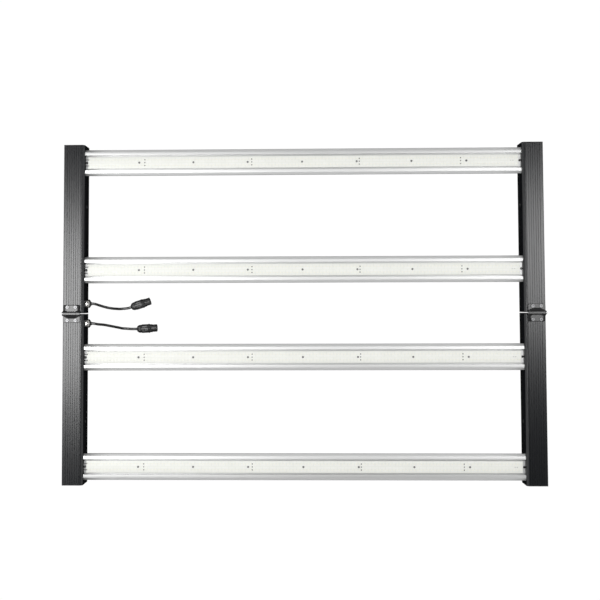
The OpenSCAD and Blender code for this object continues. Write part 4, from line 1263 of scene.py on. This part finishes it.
class GROWLIGHT_OT_glands(bpy.types.Operator):
    """Builds the cable glands: hexagon bodies, domed nuts and rubber seals"""

    bl_idname = "growlight.glands"
    bl_label = "Cable glands"

    def execute(self, context):
        for half in HALVES:
            name = half + "_gland_"
            _, y, z = box_middle(name + "body")
            place = axis_place((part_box(half + "_left_rail")[1].x, y, z), X_AXIS)
            piece(name + "body_skin", self.body(place), "Nickel plate", half, "nickel_brass", name + "body")
            piece(name + "nut_skin", self.nut(place), "Nickel plate", half, "nickel_brass", name + "nut")
            piece(name + "seal_skin", self.seal(place), "Black rubber", half, "black_rubber", name + "seal")
        return {"FINISHED"}

    def hexagon(self, place, low, high, flats, turn):
        """A hexagon prism of a width over its flats, turned by some degrees."""
        turned = place @ Matrix.Rotation(math.radians(turn), 4, "Z")
        corner = flats / math.sqrt(3)
        return lathe([(0, low), (corner, low), (corner, high), (0, high)], turned, 6)

    def body(self, place):
        """The body: a hexagon flange with its corners turned off, a threaded spigot and a neck for the nut."""
        flange, flats, corner, chamfer, past, hole = GLAND_FLANGE, 20 * MM, 10.5 * MM, 0.7 * MM, 1 * MM, 6 * MM
        rim, centre, cut = flats / 2 - 0.1 * MM, place.translation, 20 * MM * X_AXIS
        turned = [(0, 0), (rim, 0), (corner, chamfer), (corner, flange - chamfer), (rim, flange), (0, flange)]
        hexagon = self.hexagon(place, -past, flange + past, flats, FLANGE_TURN)
        shape = combined(hexagon, lathe(turned, place, 72), "INTERSECT")
        shape = combined(shape, rod(centre - cut, centre + cut, hole, 40))
        spigot, neck, bore, top = 8, 7.2, 4.55, flange / MM + 4.5
        deep, turns, pitch, thread, seat = 12, 8, 1.5, 0.5, 0.5
        profile = [(bore, -deep)]
        for i in range(turns):
            profile += [(spigot - thread, -deep + i * pitch), (spigot, -deep + (i + 0.5) * pitch)]
        profile += [(spigot, seat), (neck, seat), (neck, top), (bore, top)]
        return combined(shape, lathe(in_metres(*profile), place, 48, closed=True), "UNION")

    def nut(self, place):
        """The domed nut with its flats, chamfers and mouth."""
        flats, high, turned_off = 19 * MM, 7 * MM, 0.42 * MM
        r = flats / 2
        place = place @ Matrix.Translation((0, 0, GLAND_FLANGE))
        prism = self.hexagon(place, 0, high, flats, NUT_TURN)
        dome = [
            (0, 0), (r, 0), (r + turned_off, 0.5 * MM), (r + turned_off, high * 0.5), (r + 0.1 * MM, high * 0.62),
            (r - 0.8 * MM, high * 0.75), (r - 2.2 * MM, high * 0.9), (r - 3.4 * MM, high * 0.98), (r - 4.0 * MM, high),
            (0, high),
        ]
        shape = combined(prism, lathe(dome, place, 72), "INTERSECT")
        bore = in_metres((0, -1), (7.35, -1), (7.35, 4.65), (4.55, 4.65), (4.55, 8), (0, 8))
        return combined(shape, lathe(bore, place, 48))

    def seal(self, place):
        """The rubber seal, which stands out of the mouth of the nut round the cable."""
        bore, r, nose = 3.05, 4.4, GLAND_FLANGE / MM + 7
        profile = in_metres(
            (bore, 0), (r, 0), (r, nose + 0.7), (r - 0.25, nose + 1.4), (3.8, nose + 2.6), (3.6, nose + 3),
            (bore, nose + 3),
        )
        return lathe(profile, place, 40, closed=True)


class GROWLIGHT_OT_plugs(bpy.types.Operator):
    """Builds the plugs: tail nuts and bodies with a fluted grip, a ring, a collar and a threaded front shell"""

    bl_idname = "growlight.plugs"
    bl_label = "Plugs"

    def execute(self, context):
        for half in HALVES:
            tail, tip = (Vector(p) for p in cable_points(half)[-2:])
            place = axis_place(tail, tip - tail)
            name = half + "_plug_"
            for part, shape in (("tail_nut", self.tail_nut(place)), ("body", self.body(place))):
                piece(name + part + "_skin", shape, "Black nylon", half, "black_nylon", name + part, angle=40)
        return {"FINISHED"}

    def tail_nut(self, place):
        """The ribbed tail nut, with a domed end round the cable."""
        profile = in_metres(
            (3.1, 0.3), (3.4, 0), (4.4, 0), (5.4, 0.45), (6.6, 1.4), (7.7, 2.7), (8.5, 4.2), (9.05, 5.8), (9.3, 7.2),
            (9.3, 10.2), (8.8, 10.6), (8.8, 11), (7.55, 11), (7.55, 4), (3.1, 4),
        )
        ribs = (24, 0.35 * MM, 5 * MM, 10.3 * MM)
        return lathe(profile, place, 96, closed=True, flutes=ribs)

    def body(self, place):
        """The body, from the spigot in the tail nut to the socket in the front shell. Its points are millimetres."""
        s = sizes()
        grip, ring, collar, shell, socket, bore = 10.1, s.plug_radius / MM, 9.4, 8.75, 6.5, 3.1
        pitch, root = s.thread_pitch / MM, shell - s.thread_depth / MM
        profile = [
            (bore, 4.15), (7.4, 4.15), (7.4, 11), (grip - 0.6, 11), (grip - 0.1, 11.4), (grip, 11.9),
            *((grip, 12.6 + 13.2 * k / 8) for k in range(9)),
            (grip, 26.4), (grip - 0.3, 27), (ring - 0.35, 27.05), (ring, 27.4), (ring, 29.5), (ring - 0.4, 30),
            (collar, 30.05), (collar, 35.5), (collar - 0.4, 36), (root, 36.05), (root, 37),
        ]
        level = 37
        while level < 44:
            profile += [(shell, level + pitch * 0.35), (shell, level + pitch * 0.55), (root, level + pitch)]
            level += pitch
        profile += [
            (shell - 0.1, level + 0.3), (shell, level + 0.5), (shell, 46.3), (shell - 0.6, 47), (socket + 0.4, 47),
            (socket, 46.6), (socket, 33), (bore, 33), (bore, 15),
        ]
        flutes = (s.flute_count, s.flute_depth, 12.5 * MM, 25.9 * MM)
        return lathe(in_metres(*profile), place, 144, closed=True, flutes=flutes)


class GROWLIGHT_OT_cables(bpy.types.Operator):
    """Builds the two free cables between the glands and the plugs"""

    bl_idname = "growlight.cables"
    bl_label = "Free cables"

    def execute(self, context):
        s = sizes()
        for half in HALVES:
            route = smooth_route(cable_points(half), 5)
            shape = tube(route, s.cable_radius, 24)
            cable = piece(half + "_cable", shape, "Black rubber", half, "black_rubber", half + "_cord")
        return {"FINISHED"}


class GROWLIGHT_OT_inner_finishes(bpy.types.Operator):
    """Gives the CAD pieces that stay in view their finishes"""

    bl_idname = "growlight.inner_finishes"
    bl_label = "Finishes of the inner pieces"

    def execute(self, context):
        looks = {
            "bar_brackets": "Zinc plate", "bracket_rivets": "Silver aluminium", "splice_block": "Pale plastic",
            "gland_locknut": "Nickel plate", "plug_insert": "Black nylon", "plug_pins": "Contact brass",
        }
        for half in HALVES:
            for name, look in looks.items():
                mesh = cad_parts[half + "_" + name].data
                mesh.materials.clear()
                mesh.materials.append(finish(look))
        return {"FINISHED"}


# Stage, panel and run


class GROWLIGHT_OT_stage(bpy.types.Operator):
    """Sets the camera, the pale floor, the sky and the two soft lights"""

    bl_idname = "growlight.stage"
    bl_label = "Stage"

    def execute(self, context):
        self.camera(context.scene)
        self.floor()
        self.sky(context.scene)
        self.soft_light("Left light", (-1.094, -0.005, 2.16), width=0.80, depth=0.81, radiance=13.6)
        self.soft_light("Right light", (1.18, 0.2275, 2.16), width=0.75, depth=0.70, radiance=9.0)
        context.scene.view_settings.view_transform = "Standard"
        context.scene.view_settings.look = "None"
        return {"FINISHED"}

    def camera(self, scene):
        """The camera above the light. Its focal length is known in pixels of the square picture."""
        focal_pixels, picture_pixels, sensor = 919.83, 600, 36.0
        camera = placed("Camera", bpy.data.cameras.new("Camera"))
        camera.data.sensor_width = sensor
        camera.data.lens = sensor * focal_pixels / picture_pixels
        camera.data.clip_end = 100.0
        camera.data.shift_x, camera.data.shift_y = 0.0363, -0.0681
        camera.location = (-0.0052, 0.0271, 2.1699)
        camera.rotation_euler = (0.0459, 0.0241, -0.003)
        scene.camera = camera

    def white_to_camera(self, tree, kind, other, output):
        """Shows the camera an even white, and all other rays another shader."""
        white = node(tree, kind, Color=WHITE, Strength=1.02)
        seen = tree.nodes.new("ShaderNodeLightPath").outputs["Is Camera Ray"]
        mix = tree.nodes.new("ShaderNodeMixShader")
        for target, source in zip(mix.inputs, (seen, other.outputs[0], white.outputs[0])):
            tree.links.new(source, target)
        tree.links.new(mix.outputs[0], output.inputs["Surface"])

    def floor(self):
        """A wide floor that the camera sees white, and that is dark to the reflections of the pieces."""
        half_side, below = 20, 0.2 * MM
        bm = bmesh.new()
        bmesh.ops.create_grid(bm, x_segments=1, y_segments=1, size=half_side)
        floor = loose_object("floor", bm)
        floor.location.z = -below
        material = bpy.data.materials.new("Pale floor")
        material.use_nodes = True
        tree = material.node_tree
        tree.nodes.remove(tree.nodes["Principled BSDF"])
        dark = node(tree, "ShaderNodeBsdfDiffuse", Color=(0.03, 0.03, 0.03, 1.0))
        self.white_to_camera(tree, "ShaderNodeEmission", dark, tree.nodes["Material Output"])
        floor.data.materials.append(material)

    def sky(self, scene):
        """A soft sky that is darkest overhead, and darker ahead and behind than at the sides."""
        world = bpy.data.worlds.new("Studio")
        scene.world = world
        world.use_nodes = True
        tree = world.node_tree
        tree.nodes.clear()
        way = node(tree, "ShaderNodeSeparateXYZ", Vector=tree.nodes.new("ShaderNodeTexCoord").outputs["Generated"])
        ramp = tree.nodes.new("ShaderNodeValToRGB")
        tree.links.new(way.outputs["Z"], ramp.inputs[0])
        # Height of the direction, and the level of the sky there
        stops = [(0.0, 1.2), (0.25, 1.3), (0.4, 1.1), (0.6, 0.6), (0.8, 0.35), (0.94, 0.12), (1.0, 0.08)]
        elements = ramp.color_ramp.elements
        elements[0].position, elements[1].position = stops[0][0], stops[-1][0]
        for height, _ in stops[1:-1]:
            elements.new(height)
        for element, (_, level) in zip(elements, stops):
            element.color = (level, level, level, 1.0)
        ahead, loss_ahead = math_node(tree, "POWER", way.outputs["Y"], 2.0), 0.36
        strength = math_node(tree, "SUBTRACT", 1.0, math_node(tree, "MULTIPLY", ahead, loss_ahead))
        soft = node(tree, "ShaderNodeBackground", Color=ramp.outputs[0], Strength=strength)
        self.white_to_camera(tree, "ShaderNodeBackground", soft, tree.nodes.new("ShaderNodeOutputWorld"))

    def soft_light(self, name, place, width, depth, radiance):
        """A rectangular soft light of an even radiance that faces down."""
        light = bpy.data.lights.new(name, "AREA")
        light.shape = "RECTANGLE"
        light.size, light.size_y = width, depth
        light.energy = radiance * math.pi * width * depth
        placed(name, light).location = place


class GROWLIGHT_PT_panel(bpy.types.Panel):
    """Lists the grow light's pieces, sizes and colours"""

    bl_idname = "GROWLIGHT_PT_panel"
    bl_label = "Grow light"
    bl_space_type = "VIEW_3D"
    bl_region_type = "UI"
    bl_category = "Grow light"

    def draw(self, context):
        layout = self.layout
        for operator in OPERATORS:
            layout.operator(operator.bl_idname)
        for group in (context.scene.grow_light_sizes, context.scene.grow_light_colours):
            box = layout.box()
            for name in group.__annotations__:
                box.prop(group, name)


OPERATORS = (
    GROWLIGHT_OT_stage,
    GROWLIGHT_OT_plugs,
    GROWLIGHT_OT_cables,
    GROWLIGHT_OT_rails,
    GROWLIGHT_OT_rail_caps,
    GROWLIGHT_OT_bars,
    GROWLIGHT_OT_boards,
    GROWLIGHT_OT_light_chips,
    GROWLIGHT_OT_screws,
    GROWLIGHT_OT_hinges,
    GROWLIGHT_OT_hanging_inserts,
    GROWLIGHT_OT_wiring,
    GROWLIGHT_OT_glands,
    GROWLIGHT_OT_inner_finishes,
)
CLASSES = (GrowLightSizes, GrowLightColours, *OPERATORS, GROWLIGHT_PT_panel)


def register():
    """Registers the classes and the scene's properties."""
    for cls in CLASSES:
        bpy.utils.register_class(cls)
    bpy.types.Scene.grow_light_sizes = PointerProperty(type=GrowLightSizes)
    bpy.types.Scene.grow_light_colours = PointerProperty(type=GrowLightColours)


def unregister():
    """Takes the scene's properties and the classes away."""
    del bpy.types.Scene.grow_light_colours
    del bpy.types.Scene.grow_light_sizes
    for cls in reversed(CLASSES):
        bpy.utils.unregister_class(cls)


def main():
    """Builds every piece in order."""
    register()
    bpy.ops.growlight.stage()
    bpy.ops.growlight.plugs()
    bpy.ops.growlight.cables()
    bpy.ops.growlight.rails()
    bpy.ops.growlight.rail_caps()
    bpy.ops.growlight.bars()
    bpy.ops.growlight.boards()
    bpy.ops.growlight.light_chips()
    bpy.ops.growlight.screws()
    bpy.ops.growlight.hinges()
    bpy.ops.growlight.hanging_inserts()
    bpy.ops.growlight.wiring()
    bpy.ops.growlight.glands()
    bpy.ops.growlight.inner_finishes()


if __name__ == "__main__":
    main()
